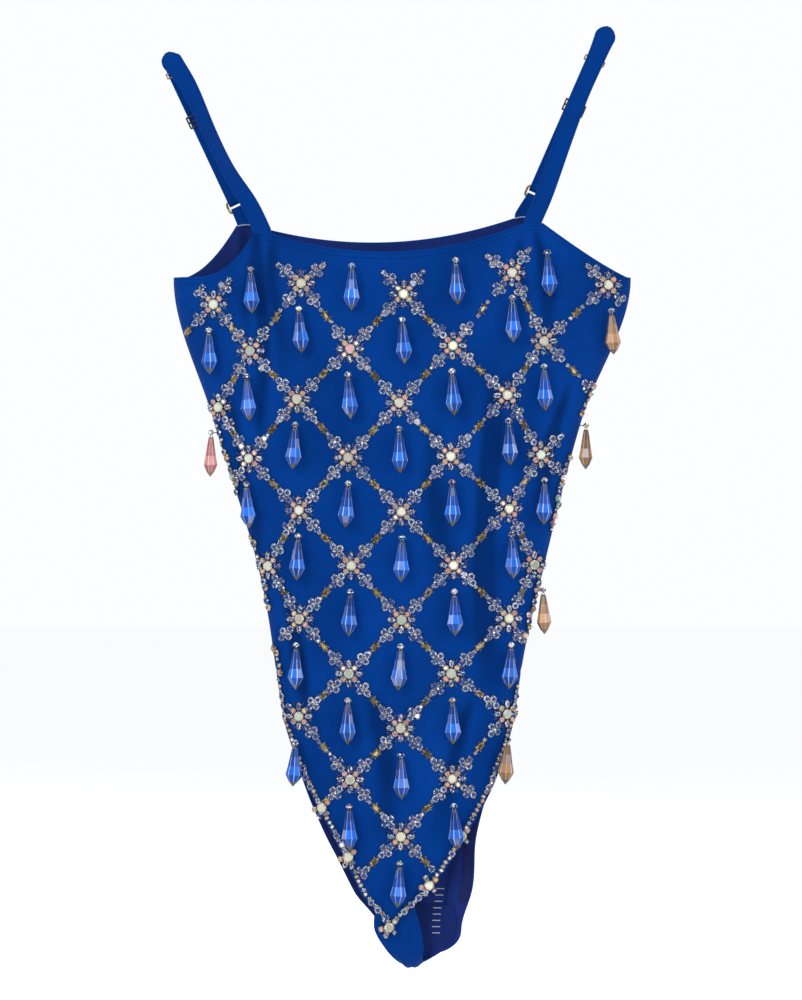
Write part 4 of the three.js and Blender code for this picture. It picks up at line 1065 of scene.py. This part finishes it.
def bead_parts(origin, outward):
    """The small cut bead above a drop."""
    outward = unit([outward[0], outward[1], 0])
    across = np.array([-outward[1], outward[0], 0.0])
    sides = 8
    shape = Shape()
    levels = ((2.3, 0.9), (1.1, 2.3), (0, BEAD_RADIUS), (-1.1, 2.3), (-2.3, 0.9))
    firsts = [shape.add_points(ring_points(sides, radius, radius * 0.9, z)) for z, radius in levels]
    shape.face([firsts[0] + i for i in range(sides)], 8)
    for level in range(len(levels) - 1):
        shape.band(firsts[level + 1], firsts[level], sides, level * 2, 2)
    shape.face([firsts[-1] + i for i in reversed(range(sides))], 9)
    # painted see-through, reflections and a rare glint, as on the clear stones
    palette = stone_palette(1, CLEAR, 0.3, 1.0, 0.02)
    x_axes, y_axes, z_axes = across[None], outward[None], np.array([[0, 0, 1.0]])
    return placed(shape, np.array([origin]), x_axes, y_axes, z_axes, palette)


def wire_points(path, radius, sides=8, closed=False, flat=None):
    """A round wire along a path of points: a grid of rings. flat keeps one axis of the ring fixed."""
    path = np.asarray(path, float)
    if closed:
        tangent = unit(np.roll(path, -1, 0) - np.roll(path, 1, 0))
    else:
        tangent = unit(np.gradient(path, axis=0))
    reference = np.asarray(flat if flat is not None else (0.03, 1, 0.02), float)
    side = unit(np.cross(tangent, reference))
    other = np.cross(tangent, side)
    angles = 2 * np.pi * np.arange(sides) / sides
    ring = side[:, None] * np.cos(angles)[None, :, None] + other[:, None] * np.sin(angles)[None, :, None]
    return path[:, None] + radius * ring


def wire_parts(path, radius, sides=8, closed=False, flat=None):
    grid = wire_points(path, radius, sides, closed, flat)
    count = len(grid)
    faces = []
    for i in range(count if closed else count - 1):
        a, b = i * sides, (i + 1) % count * sides
        for k in range(sides):
            m = (k + 1) % sides
            faces.append((a + k, a + m, b + m, b + k))
    if not closed:
        faces.append(tuple(range(sides))[::-1])
        faces.append(tuple((count - 1) * sides + k for k in range(sides)))
    return grid.reshape(-1, 3), faces, None


def circle_path(centre, radius, axis_a, axis_b, start=0.0, end=360.0, steps=16):
    angles = np.radians(np.linspace(start, end, steps, endpoint=end - start < 360))
    return centre + radius * (np.cos(angles)[:, None] * axis_a + np.sin(angles)[:, None] * axis_b)


def drop_metal(origin, outward, foot):
    """The jump ring between bead and drop, and the thread post that holds the bead on the cloth."""
    outward = unit([outward[0], outward[1], 0])
    across, up = np.array([-outward[1], outward[0], 0.0]), np.array([0, 0, 1.0])
    link = wire_parts(circle_path(origin - up * 3.3, 1.35, across, up), 0.3, 6, closed=True, flat=outward)
    cap = wire_parts(circle_path(origin - up * 4.3, 1.9, across, outward), 0.35, 6, closed=True, flat=up)
    inward = [origin - outward * distance for distance in (1.5, foot * 0.6, foot)]
    post = wire_parts(inward, 0.4, 6, flat=across)
    claws = []
    for hand in (-1, 1):
        tip = origin + across * hand * 2.0 + outward * 1.3 + up * 1.5
        claw = [origin + across * hand * 2.7 - up * 1.4, origin + across * hand * 2.8, tip]
        claws.append(wire_parts(claw, 0.3, 5, flat=outward))
    return gather([link, cap, post, *claws])


# how near the silhouette a drop is pink (left) or amber (right), and how far down the body
SILHOUETTE_REACH, UNDERARM_REACH = 8.0, 14.0
UNDERARM_SHARE = 0.1
LOWEST_TINTED = {-1: HIPS, 1: 0.92}


def near_silhouette(origin):
    x, z = origin[0], origin[2]
    hand, at = (-1 if x < 0 else 1), float(station(z))
    reach = UNDERARM_REACH if hand > 0 and at < UNDERARM_SHARE else SILHOUETTE_REACH
    return at < LOWEST_TINTED[hand] and half_width(z) - abs(x - middle(z)) < reach


def edge_colours(origin):
    """Drops beside the body's silhouette are pink or amber."""
    return PINK_DROP if origin[0] < 0 else AMBER_DROP


def cloth_distance(origin, outward):
    """How far behind a drop's pivot the cloth is."""
    side = FRONT if outward[1] < 0 else BACK
    reach = np.linspace(2, 16, 57)[:, None]
    probes = origin - unit([outward[0], outward[1], 0]) * reach
    surface = on_cloth(side, angle_at_x(probes[:, 0], probes[:, 2]), probes[:, 2], SHELL)
    gap = side * (probes[:, 1] - surface[:, 1])
    inside = np.nonzero(gap < 0.35)[0]
    return float(reach[inside[0], 0]) if len(inside) else 8.0




def add_swinging_drops():
    """The front's drops ride on their own bodies: each hangs at its joint's pivot."""
    for joint in frame["joints"]:
        if not joint["name"].startswith("swing_"):
            continue
        body = joint["child"]
        origin, outward = np.array(joint["pos_m"]) / MM, np.array(joint["axis"])
        colours = edge_colours(origin) if near_silhouette(origin) else BLUE_DROP
        points, faces, shades = gather([drop_parts(origin, outward, colours), bead_parts(origin, outward)])
        number = body.replace("drop_pendant_", "")
        name = f"glass_drop_{number}"
        piece = make_piece(name, points, faces, "drops", body, "pendant_glass", FACETED, facet=shades)
        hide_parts(body)
        points, faces, _ = drop_metal(origin, outward, cloth_distance(origin, outward))
        make_piece(f"drop_findings_{number}", points, faces, "claws", body, "hardware", 50)


# ---------- bands: straps and tabs ----------
STRAPS = {
    "left": {
        "hand": -1,
        "ring": (-0.7315 * HALF_BUST, 17.5, -128),
        "top": (-1.0179 * HALF_BUST, 4, -8),
        "front_route": (
            (-0.6598 * HALF_BUST, -19, -136), (-0.7519 * HALF_BUST, -16.5, -107),
            (-0.8389 * HALF_BUST, -13, -73), (-0.9361 * HALF_BUST, -8.5, -32),
        ),
        "twist": 42,
    },
    "right": {
        "hand": 1,
        "ring": (0.6087 * HALF_BUST, 17.5, -119),
        "top": (0.9054 * HALF_BUST, 4, 14),
        "front_route": (
            (0.624 * HALF_BUST, -19, -128), (0.711 * HALF_BUST, -15, -80),
            (0.7826 * HALF_BUST, -10, -42), (0.8491 * HALF_BUST, -7.5, -12),
        ),
        "twist": 4,
    },
}
SEWN_END = 2.5
SEAM_OVERLAP = 0.4


class Run:
    """The back run of a strap: up along it, across it, and out of its face."""

    def __init__(self, strap):
        self.foot = np.array(strap["ring"], float)
        top = np.array(strap["top"], float)
        self.length = np.linalg.norm(top - self.foot)
        self.up = (top - self.foot) / self.length
        self.across = unit(np.cross([0, 1, 0], self.up))
        self.out = unit(np.cross(self.up, self.across))

    def at(self, height, offset, aside=0.0):
        return self.foot + self.up * height + self.out * offset + self.across * aside


def centripetal(points, count):
    """Points along a smooth curve through the given ones."""
    points = np.asarray(points, float)
    ends = [2 * points[0] - points[1], *points, 2 * points[-1] - points[-2]]
    spans, made = len(points) - 1, []
    for share in np.linspace(0, spans, count):
        i = min(int(share), spans - 1)
        p0, p1, p2, p3 = ends[i : i + 4]
        knots = np.cumsum([0, *[np.linalg.norm(b - a) ** 0.5 for a, b in ((p0, p1), (p1, p2), (p2, p3))]])
        t = knots[1] + (knots[2] - knots[1]) * (share - i)
        a1 = ((knots[1] - t) * p0 + t * p1) / knots[1]
        a2 = ((knots[2] - t) * p1 + (t - knots[1]) * p2) / (knots[2] - knots[1])
        a3 = ((knots[3] - t) * p2 + (t - knots[2]) * p3) / (knots[3] - knots[2])
        b1 = ((knots[2] - t) * a1 + t * a2) / knots[2]
        b2 = ((knots[3] - t) * a2 + (t - knots[1]) * a3) / (knots[3] - knots[1])
        made.append(((knots[2] - t) * b1 + (t - knots[1]) * b2) / (knots[2] - knots[1]))
    return np.array(made)


def turned(vector, axis, angle):
    """A vector turned about a unit axis."""
    kept = axis * (axis @ vector) * (1 - math.cos(angle))
    return vector * math.cos(angle) + np.cross(axis, vector) * math.sin(angle) + kept


BAND_SECTION = 24


def band_section(thickness):
    """A sewn tube's section is flat, its edges are round and a little fuller than its middle."""
    angles = 2 * np.pi * np.arange(BAND_SECTION) / BAND_SECTION
    across = np.sign(np.cos(angles)) * np.abs(np.cos(angles)) ** 0.45 / 2
    fuller = 0.86 + 0.14 * np.abs(np.cos(angles)) ** 0.5
    proud = np.sign(np.sin(angles)) * np.abs(np.sin(angles)) ** 0.55 * thickness / 2 * fuller
    return across, proud


def band_parts(path, across_axes, widths, thickness):
    """A sewn flat tube along a path; returns points, faces and its cloth coordinates."""
    path, across_axes = np.asarray(path, float), np.asarray(across_axes, float)
    along = unit(np.gradient(path, axis=0))
    side = unit(across_axes - along * (across_axes * along).sum(1, keepdims=True))
    face = np.cross(along, side)
    across, proud = band_section(thickness)
    across = across[None, :] * widths[:, None]
    grid = path[:, None] + side[:, None] * across[..., None] + face[:, None] * proud[None, :, None]
    travelled = distances(path)
    count, n = len(path), BAND_SECTION
    faces = []
    for i in range(count - 1):
        low, high = i * n, (i + 1) * n
        faces += [(low + k, low + (k + 1) % n, high + (k + 1) % n, high + k) for k in range(n)]
    faces += [tuple(range(n))[::-1], tuple((count - 1) * n + k for k in range(n))]
    cloth = np.stack([across.ravel(), np.repeat(travelled, n), np.zeros(count * n)], -1)
    return grid.reshape(-1, 3), faces, cloth, travelled[-1], side, face


def add_stitches(name, path, edges, face, lift, body):
    """Rows of short stitches along a band's two edges, on both of its faces."""
    path = np.asarray(path, float)
    travelled = distances(path)
    pitch, long = 2.8, 1.9
    parts = []
    for edge in (-1, 1):
        for hand in (-1, 1):
            for start in np.arange(1.0, travelled[-1] - long - 1, pitch):
                ends = []
                for distance in (start, start + long / 2, start + long):
                    centre, aside, out = (
                        np.array([np.interp(distance, travelled, values[:, k]) for k in range(3)])
                        for values in (path, edges, face)
                    )
                    raised = lift - (0.18 if distance != start + long / 2 else 0)
                    ends.append(centre + aside * edge + out * hand * raised)
                parts.append(wire_parts(ends, 0.2, 4, flat=out))
    points, faces, _ = gather(parts)
    return make_piece(name, points, faces, "thread", body, "strap_fabric", 60, cloth=points)


def smooth_path(stations, count):
    """A finer path through stations, with their across axes carried along."""
    points = np.array([s[0] for s in stations], float)
    axes = np.array([s[1] for s in stations], float)
    travelled = distances(points)
    even = np.linspace(0, travelled[-1], count)
    path = np.stack([np.interp(even, travelled, points[:, k]) for k in range(3)], -1)
    carried = np.stack([np.interp(even, travelled, axes[:, k]) for k in range(3)], -1)
    return path, unit(carried)


def strap_stations(strap, run):
    """Stations of the main strap: seam, front run, fold over the hanger, back run down to the ring's fold."""
    hand = strap["hand"]
    x, z = STRAP_CORNERS[FRONT][hand]
    seam = on_tube(FRONT, angle_at_x(x, z), z - SEAM_OVERLAP, SHELL / 2)
    base = seam + [0, 0, SEWN_END]
    half = LAYER_SPACING / 2
    fold_start = run.at(run.length, half - 2 * STRAP_FOLD)
    front = centripetal([base, *strap["front_route"], fold_start], 70)
    tangents = unit(np.gradient(front, axis=0))
    sewn_axis = np.array([1.0, 0, 0])
    stations = [(seam, sewn_axis)]
    for i, (point, tangent) in enumerate(zip(front, tangents)):
        share = i / (len(front) - 1)
        flat = sewn_axis + (run.across - sewn_axis) * min(1, share * 3)
        twist = math.radians(strap["twist"]) * math.sin(math.pi * share) ** 2
        stations.append((point, turned(flat, tangent, twist)))
    for angle in np.radians(np.arange(10, 180, 10)):
        height = run.length + STRAP_FOLD * math.sin(angle)
        stations.append((run.at(height, half - STRAP_FOLD - STRAP_FOLD * math.cos(angle)), run.across))
    stations += [(run.at(run.length, half), run.across), (run.at(SLIDER_DISTANCE, half), run.across)]
    stations += [(run.at(1.5, half), run.across)]
    return stations


def return_stations(run):
    """Stations of the strap's end: round the ring's upper bar and back up to the slider."""
    half = LAYER_SPACING / 2
    stations = [(run.at(1.5, half), run.across)]
    for angle in np.radians(np.arange(0, 181, 10)):
        stations.append((run.at(-RING_FOLD * math.sin(angle), RING_FOLD * math.cos(angle)), run.across))
    rise = SLIDER_DISTANCE - SLIDER_LENGTH
    stations += [(run.at(12, -half), run.across), (run.at(rise, -half), run.across)]
    stations.append((run.at(SLIDER_DISTANCE + SLIDER_LENGTH / 2, -half), run.across))
    return stations


FOLD_SPREAD, SPREAD_DEPTH, SPREAD_FADE = 0.22, 9, 14  # share of the width, and mm below the fold


def folded_width(run, path):
    """A strap's width along its path: rounded at the fold on the hanger, then a little spread in front."""
    half = STRAP_WIDTH / 2
    drop = run.length + STRAP_FOLD - (path - run.foot) @ run.up
    in_front = np.clip((LAYER_SPACING / 2 - (path - run.foot) @ run.out) / (2 * STRAP_FOLD), 0, 1)
    rounded = np.sqrt(np.clip(1 - (1 - np.clip(drop / half, 0, 1)) ** 2, 0.12, 1))
    faded = np.exp(-np.clip(drop - SPREAD_DEPTH, 0, None) / SPREAD_FADE)
    spread = 1 + FOLD_SPREAD * in_front * np.clip(drop / SPREAD_DEPTH, 0, 1) * faded
    return STRAP_WIDTH * rounded * spread


def add_band(name, stations, count, body, replaced=(), fold_at=None):
    """A sewn band along its stations; fold_at is the run whose top rounds the band off."""
    path, axes = smooth_path(stations, count)
    widths = np.full(count, STRAP_WIDTH)
    if fold_at:
        widths = folded_width(fold_at, path)
    points, faces, cloth, length, side, face = band_parts(path, axes, widths, STRAP_THICKNESS)
    piece = make_piece(name, points, faces, "shell", body, "strap_fabric", 60, cloth=cloth)
    if replaced:
        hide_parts(*replaced)
    edges = side * (widths / 2 - 2)[:, None]
    thread = add_stitches(f"{name}_stitches", path, edges, face, STRAP_THICKNESS / 2 + 0.02, body)
    return piece, thread, length


def rounded_loop(run, height, offset, width, tall, radius, upright):
    """The path of a rounded rectangle of wire: in the strap's face if upright, else round the strap."""
    second = run.up if upright else run.out
    centre = run.at(height, offset)
    path = []
    for (u, v), start in (((1, 1), 0), ((-1, 1), 90), ((-1, -1), 180), ((1, -1), 270)):
        corner = centre + run.across * u * (width / 2 - radius) + second * v * (tall / 2 - radius)
        path.append(circle_path(corner, radius, run.across, second, start, start + 90, 6))
    return np.vstack(path)


def add_ring(name, run):
    """A rounded loop of plated wire between the strap and its tab."""
    width = STRAP_WIDTH + 2 * RING_CLEARANCE + WIRE
    path = rounded_loop(run, -RING_SPACING / 2, 0, width, RING_SPACING, 2.4, True)
    points, faces, _ = wire_parts(path, WIRE / 2, 12, closed=True, flat=run.out)
    piece = make_piece(f"{name}_ring_wire", points, faces, "gold", f"{name}_ring", "hardware", 60)
    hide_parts(f"{name}_ring")


def add_slider(name, run):
    """Two loops round both layers of the strap, joined by rails, with the bar that the strap turns on."""
    width = STRAP_WIDTH + 2 * RING_CLEARANCE + 1.4
    thick = 2 * SLOT + WIRE + 1.2
    parts = []
    for height in (-SLIDER_LENGTH / 2 + 0.8, SLIDER_LENGTH / 2 - 0.8):
        path = rounded_loop(run, SLIDER_DISTANCE + height, 0, width, thick, 1.8, False)
        parts.append(wire_parts(path, 0.75, 10, closed=True, flat=run.up))
    for hand in (-1, 1):
        for offset in (-1.2, 1.2):
            ends = [run.at(SLIDER_DISTANCE + h, offset, hand * width / 2) for h in np.linspace(-4.9, 4.9, 5)]
            parts.append(wire_parts(ends, 0.7, 8, flat=run.out))
    for offset in (0, -thick / 2):
        ends = [run.at(SLIDER_DISTANCE, offset, a) for a in np.linspace(-width / 2, width / 2, 5)]
        parts.append(wire_parts(ends, 0.75, 10, flat=run.out))
    points, faces, _ = gather(parts)
    piece = make_piece(f"{name}_slider_frame", points, faces, "dark_metal", f"{name}_slider", "hardware", 60)
    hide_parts(f"{name}_slider")


def add_keeper(name, run):
    """A short loop of plated wire round one layer of the strap."""
    width = STRAP_WIDTH + 2 * RING_CLEARANCE + 1.2
    parts = []
    for height in (-KEEPER_LENGTH / 2 + 0.6, KEEPER_LENGTH / 2 - 0.6):
        path = rounded_loop(run, KEEPER_DISTANCE + height, LAYER_SPACING / 2, width, SLOT + 1.2, 1.5, False)
        parts.append(wire_parts(path, 0.6, 10, closed=True, flat=run.up))
    for hand in (-1, 1):
        heights = KEEPER_DISTANCE + np.linspace(-1.9, 1.9, 4)
        ends = [run.at(height, LAYER_SPACING / 2, hand * width / 2) for height in heights]
        parts.append(wire_parts(ends, 0.6, 8, flat=run.out))
    points, faces, _ = gather(parts)
    piece = make_piece(f"{name}_keeper_loop", points, faces, "gold", f"{name}_keeper", "hardware", 60)
    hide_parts(f"{name}_keeper")


def tab_stations(name, run):
    """Stations of the tab: up from the back panel's seam, round the ring's lower bar and down again."""
    x, z = STRAP_CORNERS[BACK][STRAPS[name]["hand"]]
    foot = on_tube(BACK, angle_at_x(x, z), z - SEAM_OVERLAP, SHELL / 2)
    spread = STRAP_THICKNESS / 2 + 0.25
    sewn_axis = np.array([1.0, 0, 0])
    stations = [(foot + [0, spread, h], sewn_axis) for h in (0, SEWN_END)]
    for angle in np.radians(np.arange(0, 181, 15)):
        height = -RING_SPACING + TAB_FOLD * math.sin(angle)
        stations.append((run.at(height, TAB_FOLD * math.cos(angle)), run.across))
    return stations + [(foot + [0, -spread, h], sewn_axis) for h in (SEWN_END, 0)]


def add_tab_seam(name):
    """A bar of pale thread across the foot of the tab."""
    x, z = STRAP_CORNERS[BACK][STRAPS[name]["hand"]]
    across = np.linspace(-1, 1, 13)
    places = x + across * STRAP_WIDTH * 0.46
    foot = on_tube(BACK, angle_at_x(places, z), z + 0.9 - 1.2 * across**2, -1.9)
    points, faces, _ = wire_parts(foot, 0.55, 8)
    make_piece(f"{name}_tab_bar_tack", points, faces, "pale_thread", slot="strap_fabric", cloth=points)


def add_straps():
    for name, strap in STRAPS.items():
        run, ring = Run(strap), [f"{name}_ring_wire"]
        stations = strap_stations(strap, run)
        band, _, length = add_band(f"{name}_strap_band", stations, 300, "root", [f"{name}_strap"], run)
        end, thread, end_length = add_band(f"{name}_strap_end", return_stations(run), 80, None)
        start, stop = run.at(8, 0) * MM, run.at(SLIDER_DISTANCE - SLIDER_LENGTH, 0) * MM
        for piece in (end, thread):
            piece.parent = None
            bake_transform(piece)
        stations = tab_stations(name, run)
        tab, _, tab_length = add_band(f"{name}_tab_band", stations, 60, "root", [f"{name}_back_tab"])
        add_ring(name, run)
        add_slider(name, run)
        add_keeper(name, run)
        add_tab_seam(name)


# ---------- hems, seams and elastic ----------
def cloth_stitches(name, side, arc, z, lift, material, pitch=2.8, long=1.9, radius=0.2):
    """A row of stitches that lies on the cloth along a line of places."""
    points = cloth_place(side, arc, z, lift)
    travelled = distances(points)
    parts = []
    for start in np.arange(1, travelled[-1] - long, pitch):
        steps = np.array([start, start + long / 2, start + long])
        at_arc, at_z = np.interp(steps, travelled, arc), np.interp(steps, travelled, z)
        raised = lift + np.array([-0.1, 0.12, -0.1]) * (1 if lift > 0 else -1)
        parts.append(wire_parts(cloth_place(side, at_arc, at_z, raised), radius, 4))
    made, faces, _ = gather(parts)
    return make_piece(name, made, faces, material, slot="shell_fabric", smooth_under=60, cloth=made)


HEM_DEPTH = 6.0


def top_line(side, inset, start, end, count=160):
    """Places along a panel's top edge, a given distance below it, between two angles."""
    angles = np.linspace(start, end, count)
    x = middle(UNDERARM_Z) + HALF_BUST * np.sin(angles)
    z = np.maximum(top_edge(side, x), UNDERARM_Z + 1) - inset
    width, deep = half_width(z), depth(side, z)
    fine = np.linspace(0, 1, 41)[None, :] * angles[:, None]
    middles = (fine[:, 1:] + fine[:, :-1]) / 2
    rate = np.hypot(width[:, None] * np.cos(middles), deep[:, None] * np.sin(middles))
    arc = (rate * np.diff(fine, axis=1)).sum(1)
    return arc, z


def add_hems():
    for side, side_name in SIDES.items():
        limit = SEAM_ANGLE[side] - 0.03
        for row, inset in (("upper", 2.2), ("lower", HEM_DEPTH)):
            arc, z = top_line(side, inset, -limit, limit, 420)
            cloth_stitches(f"{side_name}_top_hem_{row}_stitches", side, arc, z, SHELL + 0.04, "thread")
        for hand, hand_name in HANDS.items():
            z = np.linspace(UNDERARM_Z - 3, UNDERARM_Z - BODY_LENGTH * HIPS, 400)
            arc = hand * (edge_arc(side, np.full(400, hand), z) - 1.6)
            cloth_stitches(f"{side_name}_{hand_name}_seam_stitches", side, arc, z, SHELL + 0.04, "thread")
            z = np.linspace(CHAIN_TOP + 14, TIP_Z + 14, 400)
            arc = hand * (edge_arc(side, np.full(400, hand), z) - CHAIN_INSET - HEM_DEPTH)
            cloth_stitches(f"{side_name}_{hand_name}_leg_hem_stitches", side, arc, z, SHELL + 0.04, "thread")


ELASTIC_WIDTH, ELASTIC_THICKNESS, ELASTIC_CLEARANCE, ELASTIC_INSET = 6.0, 0.7, 1.1, 2.5


def add_leg_elastics():
    """Ribbed knitted elastic inside each leg hem."""
    for side, side_name in SIDES.items():
        for hand, hand_name in HANDS.items():
            rows, columns = 150, 12
            top_z = UNDERARM_Z - BODY_LENGTH * (HIPS + 0.02)
            z = np.linspace(top_z, TIP_Z + GUSSET_OVERLAP + 3, rows)[:, None]
            outer = edge_arc(side, np.full(rows, hand), z[:, 0])[:, None] - ELASTIC_INSET
            arc = hand * (outer - ELASTIC_WIDTH * np.linspace(0, 1, columns)[None, :])
            z = z + 0 * arc
            top = -LAYER_GAP - LINING - ELASTIC_CLEARANCE
            rib = 0.12 * np.cos(np.linspace(0, 1, columns) * 2 * np.pi * 3)[None, :] + 0 * arc
            outer_face = cloth_place(side, arc, z, top + rib * 0.5)
            inner_face = cloth_place(side, arc, z, top - ELASTIC_THICKNESS - rib * 0.5)
            points, faces = sheet_parts(outer_face, inner_face)
            node = f"{hand_name}_{side_name}_leg_elastic"
            cloth = np.stack([np.tile(arc.ravel(), 2), np.tile(z.ravel(), 2), 0 * points[:, 0]], -1)
            piece = make_piece(f"{node}_band", points, faces, "elastic", slot="elastic", cloth=cloth)
            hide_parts(node)


def add_inside_seams():
    """Overlocked seams on the inside of the back, with pale thread across the one by the right leg."""
    inside = -LAYER_GAP - LINING - 0.1
    z = np.linspace(TIP_Z + 46, TIP_Z + 6, 60)
    cloth_stitches("back_inside_seam", BACK, np.full(60, 46.0), z, inside, "thread", 1.6, 1.4, 0.5)
    parts = []
    gusset_face = -2 * LAYER_GAP - LINING - GUSSET - 0.5
    for height in np.arange(TIP_Z - 2, TIP_Z + 40, 5.4):
        lift = inside - 0.35 if height > TIP_Z + GUSSET_OVERLAP + 1 else gusset_face
        parts.append(wire_parts(cloth_place(BACK, np.linspace(36, 43, 5), np.full(5, height), lift), 0.45, 6))
    points, faces, _ = gather(parts)
    make_piece("back_inside_overlock", points, faces, "pale_thread", slot="lining", cloth=points)


# ---------- drops on the back ----------
def drop_place(side, column, row):
    """Where a drop hangs under a floret: near an edge it hangs from the edge, beyond that it is left off."""
    arc, z = free_place(column, row)
    z -= PENDANT_DROP
    limit = float(edge_arc(side, arc, z)) - EDGE_MARGIN
    if abs(arc) > limit + (9 if arc < 0 else 24) or z - 28 < TIP_Z:
        return None
    return math.copysign(min(abs(arc), limit), arc), z


def add_back_drops():
    glass, metal = [], []
    stand_off = 6.0
    for row in range(ROW_COUNT):
        for column in net_columns(row):
            place = drop_place(BACK, column, row)
            if place is None:
                continue
            arc, z = place
            point, _, _, normal = cloth_axes(BACK, np.array([arc]), np.array([z]))
            origin, outward = point[0] + normal[0] * (SHELL + stand_off), normal[0]
            if near_silhouette(origin):
                continue
            glass += [drop_parts(origin, outward, BLUE_DROP), bead_parts(origin, outward)]
            metal.append(drop_metal(origin, outward, stand_off - 1))
    points, faces, colours = gather(glass)
    name = "back_glass_drops"
    make_piece(name, points, faces, "drops", slot="pendant_glass", smooth_under=FACETED, facet=colours)
    points, faces, _ = gather(metal)
    make_piece("back_drop_findings", points, faces, "claws", slot="hardware", smooth_under=50)


# ---------- studio ----------
VIEW_HEIGHT = 0.853  # metres of the object's plane from top to bottom of the view
CAMERA_DISTANCE = 2.6
VIEW_CENTRE = Vector((0, -0.02, -0.388))


def add_camera():
    data = bpy.data.cameras.new("camera")
    data.sensor_width = 36
    data.lens = data.sensor_width * CAMERA_DISTANCE / VIEW_HEIGHT
    camera = bpy.data.objects.new("camera", data)
    camera.location = VIEW_CENTRE + Vector((0, -CAMERA_DISTANCE, 0))
    camera.rotation_euler = (math.pi / 2, 0, 0)
    bpy.context.scene.collection.objects.link(camera)
    bpy.context.scene.camera = camera


def add_light(name, place, size, power, target=VIEW_CENTRE, colour=(1, 1, 1)):
    data = bpy.data.lights.new(name, "AREA")
    data.shape, data.size, data.energy, data.color = "DISK", size, power, colour
    light = bpy.data.objects.new(name, data)
    light.location = place
    light.rotation_euler = (target - Vector(place)).to_track_quat("-Z", "Y").to_euler()
    bpy.context.scene.collection.objects.link(light)


def add_studio():
    """A plain pale floor, a pale surround and soft light."""
    floor_z, half = -1.0, 12.0
    corners = [(x * half, y * half, floor_z) for x, y in ((-1, -1), (1, -1), (1, 1), (-1, 1))]
    mesh = bpy.data.meshes.new("studio_floor")
    mesh.from_pydata(corners, [], [(0, 1, 2, 3)])
    mesh.materials.append(new_material("pale_floor", (0.97, 0.97, 0.97), 0.95, Specular_IOR_Level=0.0))
    floor = bpy.data.objects.new("studio_floor", mesh)
    bpy.context.scene.collection.objects.link(floor)
    world = bpy.data.worlds.new("studio")
    world.use_nodes = True
    world.node_tree.nodes["Background"].inputs["Color"].default_value = (0.97, 0.985, 1.0, 1)
    world.node_tree.nodes["Background"].inputs["Strength"].default_value = 1.0
    bpy.context.scene.world = world
    add_light("key", (-1.3, -2.4, 0.9), 0.9, 29)
    add_light("fill", (1.8, -2.0, 0.2), 1.4, 11)
    add_light("front_sparkle", (0.15, -2.9, 0.05), 0.16, 14)
    add_light("back_key", (1.3, 2.4, 0.9), 0.9, 29)
    add_light("back_fill", (-1.8, 2.0, 0.2), 1.4, 11)
    bpy.context.scene.view_settings.view_transform = "Standard"


add_camera()
add_body()
add_gusset()
for cloth_side in SIDES:
    add_stones(cloth_side, net_sites(cloth_side))
add_swinging_drops()
add_back_drops()
add_straps()
add_hems()
add_leg_elastics()
add_inside_seams()
add_studio()
